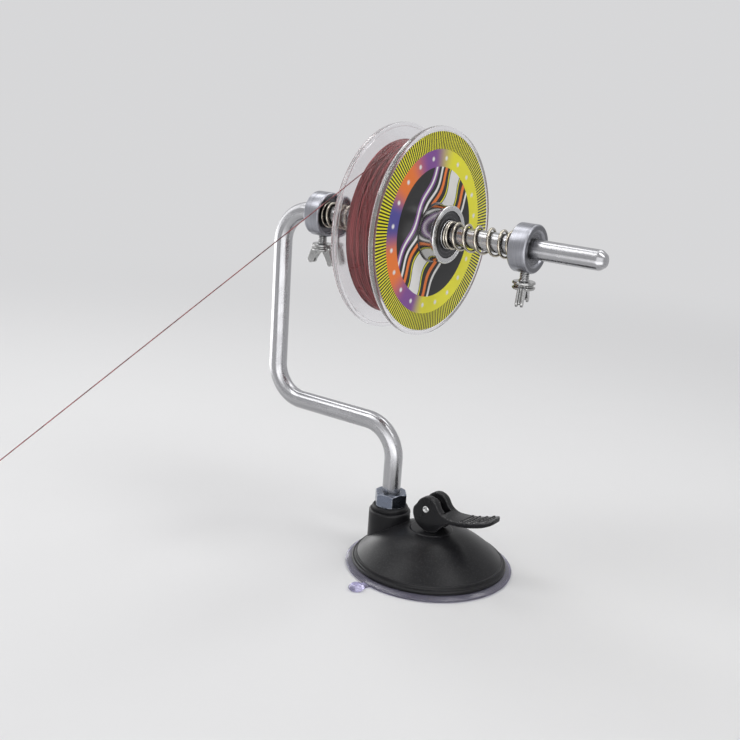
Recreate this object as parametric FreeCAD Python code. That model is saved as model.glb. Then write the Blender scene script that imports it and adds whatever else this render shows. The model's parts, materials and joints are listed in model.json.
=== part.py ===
"""Fishing line winder: a bent rod on a suction base, with a sprung spool on its spindle.

Units are millimetres. The origin is the centre of the suction pad's face, +Z is up,
and +X runs along the spindle towards its free tip.
"""

import FreeCAD, Part
import math
import os

V = FreeCAD.Vector
X_AXIS, Y_AXIS, Z_AXIS = V(1, 0, 0), V(0, 1, 0), V(0, 0, 1)

# Fits and gaps, all radial or face to face.
RUNNING_GAP = 0.05
SLIDING_GAP = 0.04
LOOSE_GAP = 0.2

# Arm: one bent round rod in the plane y = 0.
ROD_D = 8.0
BEND_R = 15.0
POST_X = -22.15
MIDDLE_Z = 57.85
UPRIGHT_X = -90.35
SPINDLE_Z = 144.3
TIP_X = 66.2
TIP_TAPER = 2.6
TIP_END_R = 2.3
POST_CHAMFER = 0.8

# Post clamp.
NUT_FLATS = 13.0
NUT_H = 6.0
NUT_TURN = 40.0
NUT_CHAMFER = 0.58
WASHER_D = 16.0
WASHER_H = 2.1

# Base housing.
PAD_D = 72.3
PAD_RIM_T = 1.2
PAD_TOP_Z = 2.1
VACUUM_RISE = 3.8
VACUUM_R = 24.0
LIP_R = 33.5
LIP_H = 1.7
STEP_R = 31.8
STEP_H = 1.4
DOME_R = 31.2
DOME_TOP_Z = 17.2
DOME_BULGE = 1.6
PLATFORM_R = 9.4
PLATFORM_H = 0.4
WALL = 2.4
BOSS_D = 18.4
BOSS_TOP_Z = 20.0
BOSS_CHAMFER = 0.7
INSERT_D = 11.0
INSERT_FLOOR = 2.2
KNURL_GROOVE = 0.5
TAB_L = 8.6
TAB_KNOB_D = 6.6
TAB_KNOB_T = 2.6
TAB_NECK_W = 4.2
TAB_NECK_T = 1.1
TAB_ANGLE = 258.0

# Stem and cam lever.
STEM_D = 6.0
STEM_PLATE_D = 16.0
STEM_PLATE_T = 1.4
PIN_D = 2.5
PIN_HEAD = 0.4
PIN_Z = 27.6
TANG_T = 4.0
CHEEK_OUT = 5.6
CHEEK_GAP = 0.25
LIFT = 3.6
LEVER_SWING = 95.0
CAM_CLEARANCE = 0.03
CAM_OVERRUN = 12.0
CROWN_X = 0.6
CROWN_R = 5.55
CROWN_FROM = 160.0
CROWN_TO = 28.0
THUMB_L = 31.3
THUMB_T = 2.2
THUMB_LOW_X = 11.0
THUMB_LOW = 1.25
THUMB_RISE = 4.9
THUMB_END_R = 7.4
TOE_X = 5.4
TOE_DROP = 9.0
SLOT_END_X = 8.0
RIBS = 4
RIB_L = 9.6
RIB_W = 1.2
RIB_H = 0.75
RIB_X = 17.4
RIB_PITCH = 3.4
RIB_TURN = 86.0

# Stop collars and their wing screws.
COLLAR_D = 19.2
COLLAR_W = 8.0
COLLAR_RECESS_R = 8.5
COLLAR_RECESS = 2.0
COLLAR_MOUTH_R = 6.4
COLLAR_MOUTH = 1.3
COLLAR_CHAMFER = 0.5
RIGHT_COLLAR_X = 32.7
LEFT_COLLAR_GAP = 22.35
SCREW_D = 3.9
NECK_D = 3.4
NECK_L = 3.3
HUB_D = 9.4
HUB_H = 3.3
HUB_WAIST = 0.9
HUB_FLANGE_T = 1.0
WING_T = 3.0
WING_SPAN = 15.0
WING_DROP = 9.4
WING_TIP_R = 1.7
WING_SHOULDER = 0.5
WING_WEB = 0.7
RIGHT_WING_TURN = -72.0
LEFT_WING_TURN = -5.0

# Springs.
WIRE_D = 1.1
COIL_R = 5.2
COIL_PITCH = 5.1
RIGHT_SPRING_TURN = 200.0
LEFT_SPRING_TURN = 40.0

# Spool.
SPOOL_X = -20.35
SPOOL_W = 19.6
FLANGE_R = 42.6
FLANGE_T = 1.6
BEAD_W = 1.3
BEAD_T = 2.3
CORE_R = 20.0
CORE_WALL = 1.6
PLUG_L = 5.0
PLUG_WALL = 1.5
SPOOL_BORE_R = 9.0
SEAT_DEPTH = 0.65
LABEL_MARGIN = 0.45
LABEL_T = 0.15
WINDING_R = 36.0
WINDING_CROWN = 0.35

# Ball bearings and the cups that carry them.
BEARING_D = 22.0
BEARING_W = 7.0
CUP_WALL = 0.8
CUP_FLOOR = 1.0
CUP_CHAMFER = 0.3
SPIGOT_L = 4.0
SPIGOT_WALL = 2.0
INNER_LAND_R = 5.9
OUTER_LAND_R = 9.1
BALL_D = 3.969
BALLS = 7
SHIELD_T = 0.4
SHIELD_RECESS = 0.35
SHIELD_SEAT = 0.5
CAGE_T = 1.2
CAGE_W = 5.0

# Free line: where it leaves the winding and the way it is pulled.
LINE_D = 0.405
LINE_START_X = -23.1
LINE_START_ANGLE = 58.1
LINE_DRIFT = -0.186
LINE_L = 190.0
LOOP_R = 3.2
KNOT_R = 0.9

rod_r = ROD_D / 2
boss_r = BOSS_D / 2
washer_top = BOSS_TOP_Z + WASHER_H
lip_top = PAD_TOP_Z + LIP_H
step_top = lip_top + STEP_H
platform_z = DOME_TOP_Z + PLATFORM_H
insert_low = step_top + INSERT_FLOOR
flange_face = SPOOL_W / 2
label_face = flange_face + LABEL_T
cup_seat = flange_face - SEAT_DEPTH
bearing_in = cup_seat + CUP_FLOOR
bearing_out = bearing_in + BEARING_W
cup_r = BEARING_D / 2 + CUP_WALL
pitch_r = (INNER_LAND_R + OUTER_LAND_R) / 2
race_x = SPOOL_X + bearing_out
collar_r = COLLAR_D / 2
left_collar_x = UPRIGHT_X + LEFT_COLLAR_GAP
bead_rise = (BEAD_T - FLANGE_T) / 2
label_r = FLANGE_R - BEAD_W - bead_rise - LABEL_MARGIN


def circle_point(r, degrees):
    return r * math.cos(math.radians(degrees)), r * math.sin(math.radians(degrees))


def face_of(points):
    return Part.Face(Part.makePolygon(points + points[:1]))


def lathe_z(profile, x=0.0):
    """Solid of revolution about a vertical axis at x, from (radius, z) points."""
    face = face_of([V(x + r, 0, z) for r, z in profile])
    return face.revolve(V(x, 0, 0), Z_AXIS, 360)


def lathe_x(profile):
    """Solid of revolution about the spindle, from (x, radius) points."""
    face = face_of([V(x, 0, SPINDLE_Z + r) for x, r in profile])
    return face.revolve(V(0, 0, SPINDLE_Z), X_AXIS, 360)


def tube_x(x_low, x_high, r_in, r_out):
    return lathe_x([(x_low, r_in), (x_high, r_in), (x_high, r_out), (x_low, r_out)])


def cylinder_z(x, z_low, z_high, r):
    return Part.makeCylinder(r, z_high - z_low, V(x, 0, z_low), Z_AXIS)


def block(x_range, y_range, z_range):
    size = [high - low for low, high in (x_range, y_range, z_range)]
    return Part.makeBox(*size, V(x_range[0], y_range[0], z_range[0]))


def other_side(shape):
    """Mirror a piece of the spool's right side to its left side."""
    return shape.mirror(V(SPOOL_X, 0, 0), X_AXIS)


def arc_edge(start, middle, end):
    return Part.Arc(start, middle, end).toShape()


def line_edge(start, end):
    return Part.LineSegment(start, end).toShape()


# ---------------------------------------------------------------- base


def dome_height(r):
    """Outer surface of the dome: flat at the platform, steepest at the rim."""
    share = (r - PLATFORM_R) / (DOME_R - PLATFORM_R)
    return DOME_TOP_Z - (DOME_TOP_Z - step_top) * share ** DOME_BULGE


def base_housing():
    steps = 8
    radii = [PLATFORM_R + (DOME_R - PLATFORM_R) * i / steps for i in range(steps + 1)]
    dome = [(r, dome_height(r)) for r in radii]
    rim = [(STEP_R, step_top), (STEP_R, lip_top), (LIP_R, lip_top), (LIP_R, PAD_TOP_Z)]
    top = [(0, platform_z), (PLATFORM_R - PLATFORM_H, platform_z)]
    inner_rim_r = STEP_R - 2 * WALL
    under = [(inner_rim_r, PAD_TOP_Z)]
    under += [(r, dome_height(r) - WALL) for r in reversed(radii) if r < inner_rim_r]
    under += [(0, DOME_TOP_Z - WALL)]
    shell = lathe_z(top + dome + rim + under)
    boss = cylinder_z(POST_X, step_top, BOSS_TOP_Z, boss_r)
    rim_edge = [e for e in boss.Edges if abs(e.BoundBox.ZMin - BOSS_TOP_Z) < 0.01 and len(e.Vertexes) == 1]
    boss = boss.makeChamfer(BOSS_CHAMFER, rim_edge)
    housing = shell.fuse(boss)
    housing = housing.cut(cylinder_z(POST_X, insert_low, BOSS_TOP_Z, INSERT_D / 2))
    housing = housing.cut(cylinder_z(0, PAD_TOP_Z, platform_z, STEM_D / 2 + RUNNING_GAP))
    return housing.removeSplitter()


def threaded_insert():
    low, high = insert_low, BOSS_TOP_Z
    r_out, r_in = INSERT_D / 2, rod_r + RUNNING_GAP
    middle = (low + high) / 2
    groove = (high - low) / 8
    return lathe_z([
        (r_in, low), (r_out, low), (r_out, middle - groove), (r_out - KNURL_GROOVE, middle - groove),
        (r_out - KNURL_GROOVE, middle + groove), (r_out, middle + groove), (r_out, high), (r_in, high),
    ], POST_X)


def suction_pad():
    """Soft disc, pulled up in its middle by the stem, with a pull tab at its rim."""
    r = PAD_D / 2
    boss = STEM_PLATE_D / 2 + WALL
    plate_low = VACUUM_RISE + WALL / 2
    plate_high = plate_low + STEM_PLATE_T
    crown = plate_high + WALL / 2
    shoulder = (-POST_X - boss_r - LOOSE_GAP, step_top - LOOSE_GAP)
    disc = lathe_z([
        (0, VACUUM_RISE), (boss, VACUUM_RISE), (VACUUM_R, 0), (r - PAD_RIM_T / 2, 0), (r, PAD_RIM_T / 2),
        (r, PAD_RIM_T), (LIP_R, PAD_TOP_Z), (VACUUM_R, PAD_TOP_Z), shoulder, (boss, crown), (0, crown),
    ])
    disc = disc.cut(cylinder_z(0, plate_low, plate_high, STEM_PLATE_D / 2))
    disc = disc.cut(cylinder_z(0, plate_high, crown, STEM_D / 2))
    knob_x = r + TAB_L - TAB_KNOB_D / 2
    tab = block((0, knob_x), (-TAB_NECK_W / 2, TAB_NECK_W / 2), (0, TAB_NECK_T))
    tab = tab.cut(Part.makeCylinder(r - WALL, TAB_NECK_T))
    tab = tab.fuse(Part.makeCylinder(TAB_KNOB_D / 2, TAB_KNOB_T, V(knob_x, 0, 0)))
    tab.rotate(V(0, 0, 0), Z_AXIS, TAB_ANGLE)
    return disc.fuse(tab).removeSplitter()


def pad_stem():
    plate_low = VACUUM_RISE + WALL / 2
    tang_top = PIN_Z + STEM_D / 2
    neck_z = platform_z - PLATFORM_H / 2
    stem = cylinder_z(0, plate_low, plate_low + STEM_PLATE_T, STEM_PLATE_D / 2)
    stem = stem.fuse(cylinder_z(0, plate_low, neck_z, STEM_D / 2))
    post = cylinder_z(0, neck_z, tang_top, STEM_D / 2)
    slab = block((-STEM_D, STEM_D), (-TANG_T / 2, TANG_T / 2), (neck_z, PIN_Z))
    crown = Part.makeCylinder(STEM_D / 2, TANG_T, V(0, -TANG_T / 2, PIN_Z), Y_AXIS)
    tang = post.common(slab.fuse(crown))
    stem = stem.fuse(tang)
    hole = Part.makeCylinder(PIN_D / 2, STEM_D, V(0, -STEM_D / 2, PIN_Z), Y_AXIS)
    return stem.cut(hole).removeSplitter()


def lever_pin():
    half = CHEEK_OUT + PIN_HEAD
    return Part.makeCylinder(PIN_D / 2, 2 * half, V(0, -half, PIN_Z), Y_AXIS)


def cam_point(degrees):
    """Point of the cam whose support distance falls by LIFT over LEVER_SWING.

    The profile is the involute of a circle, so the lift is in exact proportion to
    the turn while the cam rolls and slides on the flat platform.
    """
    rate = LIFT / math.radians(LEVER_SWING)
    reach = PIN_Z - platform_z - CAM_CLEARANCE
    psi = math.radians(-90 - degrees)
    distance = reach - rate * math.radians(degrees)
    x = distance * math.cos(psi) - rate * math.sin(psi)
    z = distance * math.sin(psi) + rate * math.cos(psi)
    return V(x, 0, PIN_Z + z)


def thumb_top(x):
    """Height of the thumb's upper face, a shallow dish that rises to the tip."""
    return PIN_Z - THUMB_LOW + THUMB_RISE * ((x - THUMB_LOW_X) / (THUMB_L - THUMB_LOW_X)) ** 2


def lever_outline():
    """Side view: cam below and behind the pin, round crown above it, dished thumb plate."""
    sweep = LEVER_SWING + CAM_OVERRUN
    cam = [cam_point(sweep * i / 10) for i in range(11)]
    cam_edge = Part.BSplineCurve()
    cam_edge.interpolate(cam)
    middle = (CROWN_FROM + CROWN_TO) / 2
    crown = [V(CROWN_X, 0, PIN_Z) + V(x, 0, z)
             for x, z in (circle_point(CROWN_R, turn) for turn in (CROWN_FROM, middle, CROWN_TO))]
    low_x, middle_x, end_x = THUMB_LOW_X, (THUMB_LOW_X + THUMB_L) / 2, THUMB_L
    top = [V(x, 0, thumb_top(x)) for x in (low_x, middle_x, end_x)]
    under = [point - V(0, 0, THUMB_T) for point in top]
    dip = (crown[2] + top[0]) / 2 - V(THUMB_T, 0, THUMB_T) / 4
    toe = V(TOE_X, 0, PIN_Z - TOE_DROP)
    bend = (toe + under[0]) / 2 + V(0, 0, THUMB_T / 6)
    edges = [
        cam_edge.toShape(), line_edge(cam[-1], crown[0]), arc_edge(*crown),
        arc_edge(crown[2], dip, top[0]), arc_edge(*top), line_edge(top[2], under[2]),
        arc_edge(*under), arc_edge(under[0], bend, toe), line_edge(toe, cam[0]),
    ]
    return Part.Face(Part.Wire(Part.__sortEdges__(edges)))


def thumb_ribs():
    ribs = []
    for i in range(RIBS):
        x = RIB_X + i * RIB_PITCH
        slope = math.degrees(math.atan2(thumb_top(x + 1) - thumb_top(x), 1))
        rib = block((-RIB_L / 2, RIB_L / 2), (-RIB_W / 2, RIB_W / 2), (-THUMB_T / 2, RIB_H))
        rib.rotate(V(0, 0, 0), Z_AXIS, RIB_TURN)
        rib.rotate(V(0, 0, 0), Y_AXIS, -slope)
        rib.translate(V(x, 0, thumb_top(x)))
        ribs.append(rib)
    return ribs


def cam_lever():
    plate = lever_outline().extrude(V(0, 2 * CHEEK_OUT, 0))
    plate.translate(V(0, -CHEEK_OUT, 0))
    end_x = THUMB_L - THUMB_END_R
    low, high = PIN_Z - 2 * TOE_DROP, PIN_Z + 2 * TOE_DROP
    rounded = Part.makeCylinder(THUMB_END_R, high - low, V(end_x, 0, low), Z_AXIS)
    rounded = rounded.fuse(block((-2 * TOE_DROP, end_x), (-CHEEK_OUT, CHEEK_OUT), (low, high)))
    lever = plate.common(rounded).fuse(thumb_ribs())
    half = TANG_T / 2 + CHEEK_GAP
    slot = block((-2 * TOE_DROP, SLOT_END_X), (-half, half), (low, high))
    bore = Part.makeCylinder(PIN_D / 2 + RUNNING_GAP, 4 * CHEEK_OUT, V(0, -2 * CHEEK_OUT, PIN_Z), Y_AXIS)
    return lever.cut([slot, bore]).removeSplitter()


# ---------------------------------------------------------------- arm


def arm_rod():
    r = BEND_R
    c = r * (1 - math.cos(math.radians(45)))
    foot = V(POST_X, 0, insert_low + 2 * POST_CHAMFER)
    low_a, low_b = V(POST_X, 0, MIDDLE_Z - r), V(POST_X - r, 0, MIDDLE_Z)
    mid_a, mid_b = V(UPRIGHT_X + r, 0, MIDDLE_Z), V(UPRIGHT_X, 0, MIDDLE_Z + r)
    top_a, top_b = V(UPRIGHT_X, 0, SPINDLE_Z - r), V(UPRIGHT_X + r, 0, SPINDLE_Z)
    taper = V(TIP_X - TIP_TAPER, 0, SPINDLE_Z)
    path = Part.Wire([
        line_edge(foot, low_a),
        arc_edge(low_a, V(POST_X - c, 0, MIDDLE_Z - c), low_b),
        line_edge(low_b, mid_a),
        arc_edge(mid_a, V(UPRIGHT_X + c, 0, MIDDLE_Z + c), mid_b),
        line_edge(mid_b, top_a),
        arc_edge(top_a, V(UPRIGHT_X + c, 0, SPINDLE_Z - c), top_b),
        line_edge(top_b, taper),
    ])
    section = Part.Wire(Part.makeCircle(rod_r, foot, Z_AXIS))
    rod = path.makePipeShell([section], True, True)
    tip = Part.makeCone(rod_r, TIP_END_R, TIP_TAPER, taper, X_AXIS)
    foot_cone = Part.makeCone(rod_r - POST_CHAMFER, rod_r, POST_CHAMFER, foot - V(0, 0, POST_CHAMFER), Z_AXIS)
    return rod.fuse([tip, foot_cone]).removeSplitter()


def lock_nut():
    low, high = washer_top, washer_top + NUT_H
    corner_r = NUT_FLATS / math.sqrt(3)
    corners = [circle_point(corner_r, 60 * i - 90 + NUT_TURN) for i in range(6)]
    hexagon = face_of([V(POST_X + x, y, low) for x, y in corners]).extrude(V(0, 0, NUT_H))
    slope = NUT_CHAMFER * (corner_r - NUT_FLATS / 2)
    turned = lathe_z([
        (0, low), (NUT_FLATS / 2, low), (corner_r, low + slope), (corner_r, high - slope),
        (NUT_FLATS / 2, high), (0, high),
    ], POST_X)
    nut = hexagon.common(turned)
    return nut.cut(cylinder_z(POST_X, low, high, rod_r + RUNNING_GAP))


def post_washer():
    ring = cylinder_z(POST_X, BOSS_TOP_Z, washer_top, WASHER_D / 2)
    return ring.cut(cylinder_z(POST_X, BOSS_TOP_Z, washer_top, rod_r + LOOSE_GAP))


# ---------------------------------------------------------------- collars, screws, springs


def collar(x_middle, turn):
    """Turned stop collar, its spring recess on the left; the left collar is the same part turned round."""
    half, chamfer, bore = COLLAR_W / 2, COLLAR_CHAMFER, rod_r + SLIDING_GAP
    body = lathe_x([
        (half, COLLAR_MOUTH_R), (half, collar_r - chamfer), (half - chamfer, collar_r),
        (chamfer - half, collar_r), (-half, collar_r - chamfer), (-half, COLLAR_RECESS_R),
        (COLLAR_RECESS - half, COLLAR_RECESS_R), (COLLAR_RECESS - half, bore), (half - COLLAR_MOUTH, bore),
        (half - COLLAR_MOUTH, COLLAR_MOUTH_R),
    ])
    body = body.cut(cylinder_z(0, SPINDLE_Z - collar_r, SPINDLE_Z, SCREW_D / 2 + RUNNING_GAP))
    body.rotate(V(0, 0, 0), Z_AXIS, turn)
    body.translate(V(x_middle, 0, 0))
    return body


def wing(turn):
    """One drooping wing of a wing screw, in the plane through the screw's axis."""
    hub_r, tip_x, tip_z = HUB_D / 2, WING_SPAN / 2, WING_TIP_R - WING_DROP
    root = V(hub_r - 2 * HUB_WAIST, 0, -WING_SHOULDER)
    shoulder = V(hub_r + WING_SHOULDER, 0, HUB_FLANGE_T - HUB_H)
    tip_out = V(tip_x, 0, tip_z)
    tip_end = V(tip_x - WING_TIP_R, 0, tip_z - WING_TIP_R)
    tip_in = V(tip_x - 2 * WING_TIP_R, 0, tip_z)
    crotch = V(2 * WING_WEB, 0, -HUB_H - WING_WEB)
    centre = V(0, 0, -HUB_H)
    edges = [
        line_edge(root, shoulder), line_edge(shoulder, tip_out), arc_edge(tip_out, tip_end, tip_in),
        line_edge(tip_in, crotch), line_edge(crotch, centre), line_edge(centre, root),
    ]
    plate = Part.Face(Part.Wire(edges)).extrude(V(0, WING_T, 0))
    plate.translate(V(0, -WING_T / 2, 0))
    plate.rotate(V(0, 0, 0), Z_AXIS, turn)
    return plate


def wing_screw(x, turn):
    hub_top = SPINDLE_Z - collar_r - NECK_L
    screw_tip = SPINDLE_Z - rod_r - RUNNING_GAP
    hub = cylinder_z(0, -HUB_H, 0, HUB_D / 2 - HUB_WAIST)
    hub = hub.fuse([
        cylinder_z(0, -HUB_FLANGE_T, 0, HUB_D / 2), cylinder_z(0, -HUB_H, HUB_FLANGE_T - HUB_H, HUB_D / 2),
        wing(turn), wing(turn + 180),
    ])
    hub.translate(V(x, 0, hub_top))
    neck = cylinder_z(x, hub_top, SPINDLE_Z - collar_r, NECK_D / 2)
    thread = cylinder_z(x, SPINDLE_Z - collar_r, screw_tip, SCREW_D / 2)
    return hub.fuse([neck, thread]).removeSplitter()


def spring(x_low, x_high, turn):
    """Compression spring with ground ends between two faces, its coil turned by some degrees."""
    length = x_high - x_low
    helix = Part.makeHelix(COIL_PITCH, length + COIL_PITCH, COIL_R)
    section = Part.Wire(Part.makeCircle(WIRE_D / 2, V(COIL_R, 0, 0), Y_AXIS))
    coil = Part.Wire(helix.Edges).makePipeShell([section], True, True)
    coil.translate(V(0, 0, -COIL_PITCH / 2))
    keep = Part.makeCylinder(COIL_R + WIRE_D, length)
    coil = coil.common(keep)
    coil.rotate(V(0, 0, 0), Z_AXIS, turn)
    coil.rotate(V(0, 0, 0), Y_AXIS, 90)
    coil.translate(V(x_low, 0, SPINDLE_Z))
    return coil


# ---------------------------------------------------------------- spool


def spool_flange():
    """Right flange: disc with a rim bead, a seat for the bearing cup and a plug."""
    face, bore = flange_face, SPOOL_BORE_R
    inner = face - FLANGE_T
    bead = bead_rise
    plug_r = CORE_R - CORE_WALL - SLIDING_GAP
    seat_r = cup_r + LOOSE_GAP
    profile = [
        (cup_seat, bore), (cup_seat, seat_r), (face, seat_r), (face, FLANGE_R - BEAD_W - bead),
        (face + bead, FLANGE_R - BEAD_W), (face + bead, FLANGE_R - bead), (face, FLANGE_R),
        (inner, FLANGE_R), (inner - bead, FLANGE_R - bead), (inner - bead, FLANGE_R - BEAD_W),
        (inner, FLANGE_R - BEAD_W - bead), (inner, plug_r), (inner - PLUG_L, plug_r),
        (inner - PLUG_L, plug_r - PLUG_WALL), (inner, plug_r - PLUG_WALL), (inner, bore),
    ]
    return lathe_x([(SPOOL_X + x, r) for x, r in profile])


def spool_core():
    inner = flange_face - FLANGE_T
    return tube_x(SPOOL_X - inner, SPOOL_X + inner, CORE_R - CORE_WALL, CORE_R)


def spool_label():
    return tube_x(SPOOL_X + flange_face, SPOOL_X + label_face, cup_r + 2 * LOOSE_GAP, label_r)


def line_winding():
    """The wound line as one body, a little fuller in the middle."""
    half = flange_face - FLANGE_T - LOOSE_GAP
    top = [(half * (1 - i / 4), WINDING_R - WINDING_CROWN * (1 - i / 4) ** 2) for i in range(9)]
    return lathe_x([(SPOOL_X + x, r) for x, r in [(half, CORE_R)] + top + [(-half, CORE_R)]])


# ---------------------------------------------------------------- bearings


def bearing_cup():
    spigot_r = SPOOL_BORE_R - SLIDING_GAP
    inner = cup_seat - SPIGOT_L
    pocket_r = BEARING_D / 2
    profile = [
        (inner, spigot_r - SPIGOT_WALL), (bearing_in, spigot_r - SPIGOT_WALL),
        (bearing_in, pocket_r), (bearing_out, pocket_r), (bearing_out, cup_r - CUP_CHAMFER),
        (bearing_out - CUP_CHAMFER, cup_r), (cup_seat, cup_r), (cup_seat, spigot_r), (inner, spigot_r),
    ]
    return lathe_x([(SPOOL_X + x, r) for x, r in profile])


def groove():
    """Ring of the balls' path, which both races are cut with."""
    x = SPOOL_X + bearing_in + BEARING_W / 2
    return Part.makeTorus(pitch_r, BALL_D / 2 + RUNNING_GAP, V(x, 0, SPINDLE_Z), X_AXIS)


def inner_race():
    low, high = SPOOL_X + bearing_in, SPOOL_X + bearing_out
    return tube_x(low, high, rod_r + SLIDING_GAP, INNER_LAND_R).cut(groove())


def outer_race():
    low, high = SPOOL_X + bearing_in, SPOOL_X + bearing_out
    seat = SHIELD_RECESS + SHIELD_T
    seat_r = OUTER_LAND_R + SHIELD_SEAT
    ring = lathe_x([
        (low, seat_r), (low + seat, seat_r), (low + seat, OUTER_LAND_R), (high - seat, OUTER_LAND_R),
        (high - seat, seat_r), (high, seat_r), (high, BEARING_D / 2), (low, BEARING_D / 2),
    ])
    return ring.cut(groove())


def shields():
    low, high = SPOOL_X + bearing_in, SPOOL_X + bearing_out
    plates = []
    for x in (low + SHIELD_RECESS, high - SHIELD_RECESS - SHIELD_T):
        plates.append(tube_x(x, x + SHIELD_T, INNER_LAND_R + LOOSE_GAP, OUTER_LAND_R + SHIELD_SEAT))
    return Part.makeCompound(plates)


def ball_centres():
    x = SPOOL_X + bearing_in + BEARING_W / 2
    points = [circle_point(pitch_r, 360 * i / BALLS) for i in range(BALLS)]
    return [V(x, y, SPINDLE_Z + z) for y, z in points]


def balls():
    return Part.makeCompound([Part.makeSphere(BALL_D / 2, point) for point in ball_centres()])


def cage():
    x = SPOOL_X + bearing_in + BEARING_W / 2
    ring = tube_x(x - CAGE_W / 2, x + CAGE_W / 2, pitch_r - CAGE_T / 2, pitch_r + CAGE_T / 2)
    return ring.cut([Part.makeSphere(BALL_D / 2 + RUNNING_GAP, point) for point in ball_centres()])


# ---------------------------------------------------------------- free line


def line_direction():
    turn = math.radians(LINE_START_ANGLE)
    return V(LINE_DRIFT, -math.sin(turn), -math.cos(turn)).normalize()


def line_start():
    turn = math.radians(LINE_START_ANGLE)
    reach = WINDING_R + LINE_D / 2 + RUNNING_GAP
    return V(LINE_START_X, -reach * math.cos(turn), SPINDLE_Z + reach * math.sin(turn))


def free_line():
    return Part.makeCylinder(LINE_D / 2, LINE_L - KNOT_R, line_start(), line_direction())


def line_loop():
    """Knot and tied loop at the far end of the line."""
    d = line_direction()
    knot = line_start() + d * LINE_L
    centre = knot + d * LOOP_R
    side = d.cross(Z_AXIS).normalize()
    ring = Part.makeTorus(LOOP_R, LINE_D / 2, centre, side)
    return ring.fuse(Part.makeSphere(KNOT_R, knot))


def spool_side_pieces():
    """Pieces that the spool's right and left sides have in common, by name."""
    return {
        "bearing_cup": bearing_cup(), "inner_race": inner_race(), "outer_race": outer_race(),
        "bearing_balls": balls(), "bearing_cage": cage(), "bearing_shields": shields(),
        "spool_flange": spool_flange(),
    }


def build():
    spring_seat = COLLAR_W / 2 - COLLAR_RECESS
    left_race_x = SPOOL_X - bearing_out
    nodes = {
        "base_housing": base_housing(), "threaded_insert": threaded_insert(),
        "suction_pad": suction_pad(), "pad_stem": pad_stem(), "lever_pin": lever_pin(),
        "cam_lever": cam_lever(), "post_washer": post_washer(), "lock_nut": lock_nut(),
        "arm_rod": arm_rod(),
        "right_collar": collar(RIGHT_COLLAR_X, 0), "left_collar": collar(left_collar_x, 180),
        "right_wing_screw": wing_screw(RIGHT_COLLAR_X, RIGHT_WING_TURN),
        "left_wing_screw": wing_screw(left_collar_x, LEFT_WING_TURN),
        "right_spring": spring(race_x, RIGHT_COLLAR_X - spring_seat, RIGHT_SPRING_TURN),
        "left_spring": spring(left_collar_x + spring_seat, left_race_x, LEFT_SPRING_TURN),
        "spool_core": spool_core(), "spool_label": spool_label(), "line_winding": line_winding(),
        "free_line": free_line(), "line_loop": line_loop(),
    }
    for name, shape in spool_side_pieces().items():
        nodes["right_" + name] = shape
        nodes["left_" + name] = other_side(shape)
    return nodes


os.makedirs("parts", exist_ok=True)
for node, shape in build().items():
    shape.exportStep("parts/" + node + ".step")
    print(node, "solids", len(shape.Solids), "valid", shape.isValid(), "volume", round(shape.Volume, 2))
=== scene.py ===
"""Looks of the fishing line winder: its finishes, its dressed pieces, the stage and the camera.

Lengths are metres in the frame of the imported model: +Z up, +X along the spindle to its free tip.
"""

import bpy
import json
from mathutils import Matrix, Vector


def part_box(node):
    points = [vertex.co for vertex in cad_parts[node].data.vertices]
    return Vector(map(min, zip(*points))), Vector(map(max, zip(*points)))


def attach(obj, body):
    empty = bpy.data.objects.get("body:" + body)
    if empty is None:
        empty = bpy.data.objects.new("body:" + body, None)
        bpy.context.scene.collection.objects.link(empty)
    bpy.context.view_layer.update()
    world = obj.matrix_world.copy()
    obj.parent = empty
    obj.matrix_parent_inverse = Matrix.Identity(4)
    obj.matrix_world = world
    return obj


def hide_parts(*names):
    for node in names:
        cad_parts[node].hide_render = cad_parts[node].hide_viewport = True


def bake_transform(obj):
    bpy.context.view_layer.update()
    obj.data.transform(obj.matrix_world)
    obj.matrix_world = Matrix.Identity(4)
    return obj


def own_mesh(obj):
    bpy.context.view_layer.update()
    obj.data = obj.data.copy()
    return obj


bl_info = {
    "name": "Fishing line winder",
    "version": (1, 0, 0),
    "blender": (4, 5, 0),
    "location": "3D View > Sidebar > Winder",
    "description": "Builds a suction base line winder piece by piece around its packed model",
    "category": "Object",
}

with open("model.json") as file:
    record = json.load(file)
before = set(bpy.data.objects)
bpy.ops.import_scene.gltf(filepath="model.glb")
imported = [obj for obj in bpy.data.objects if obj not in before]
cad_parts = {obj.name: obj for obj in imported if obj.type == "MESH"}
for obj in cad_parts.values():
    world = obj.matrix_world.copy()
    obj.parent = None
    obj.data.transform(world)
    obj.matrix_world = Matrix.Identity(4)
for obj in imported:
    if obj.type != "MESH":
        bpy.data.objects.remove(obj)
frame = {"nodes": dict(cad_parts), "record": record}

import json
import math
import random

import bmesh
import bpy
from bpy.props import FloatProperty, FloatVectorProperty, IntProperty, PointerProperty
from mathutils import Matrix, Vector

X, Y, Z = Vector((1, 0, 0)), Vector((0, 1, 0)), Vector((0, 0, 1))
ORIGIN = Vector((0, 0, 0))
FULL_TURN = 2 * math.pi
SIDES = ("right", "left")


def corners(node):
    """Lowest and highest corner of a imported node, to a hundredth of a millimetre."""
    return [Vector([round(value, 5) for value in corner]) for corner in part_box(node)]


def centre(node):
    low, high = corners(node)
    return (low + high) / 2


def outward(side):
    """Direction out of the spool on one side."""
    return X if side == "right" else -X


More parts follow.
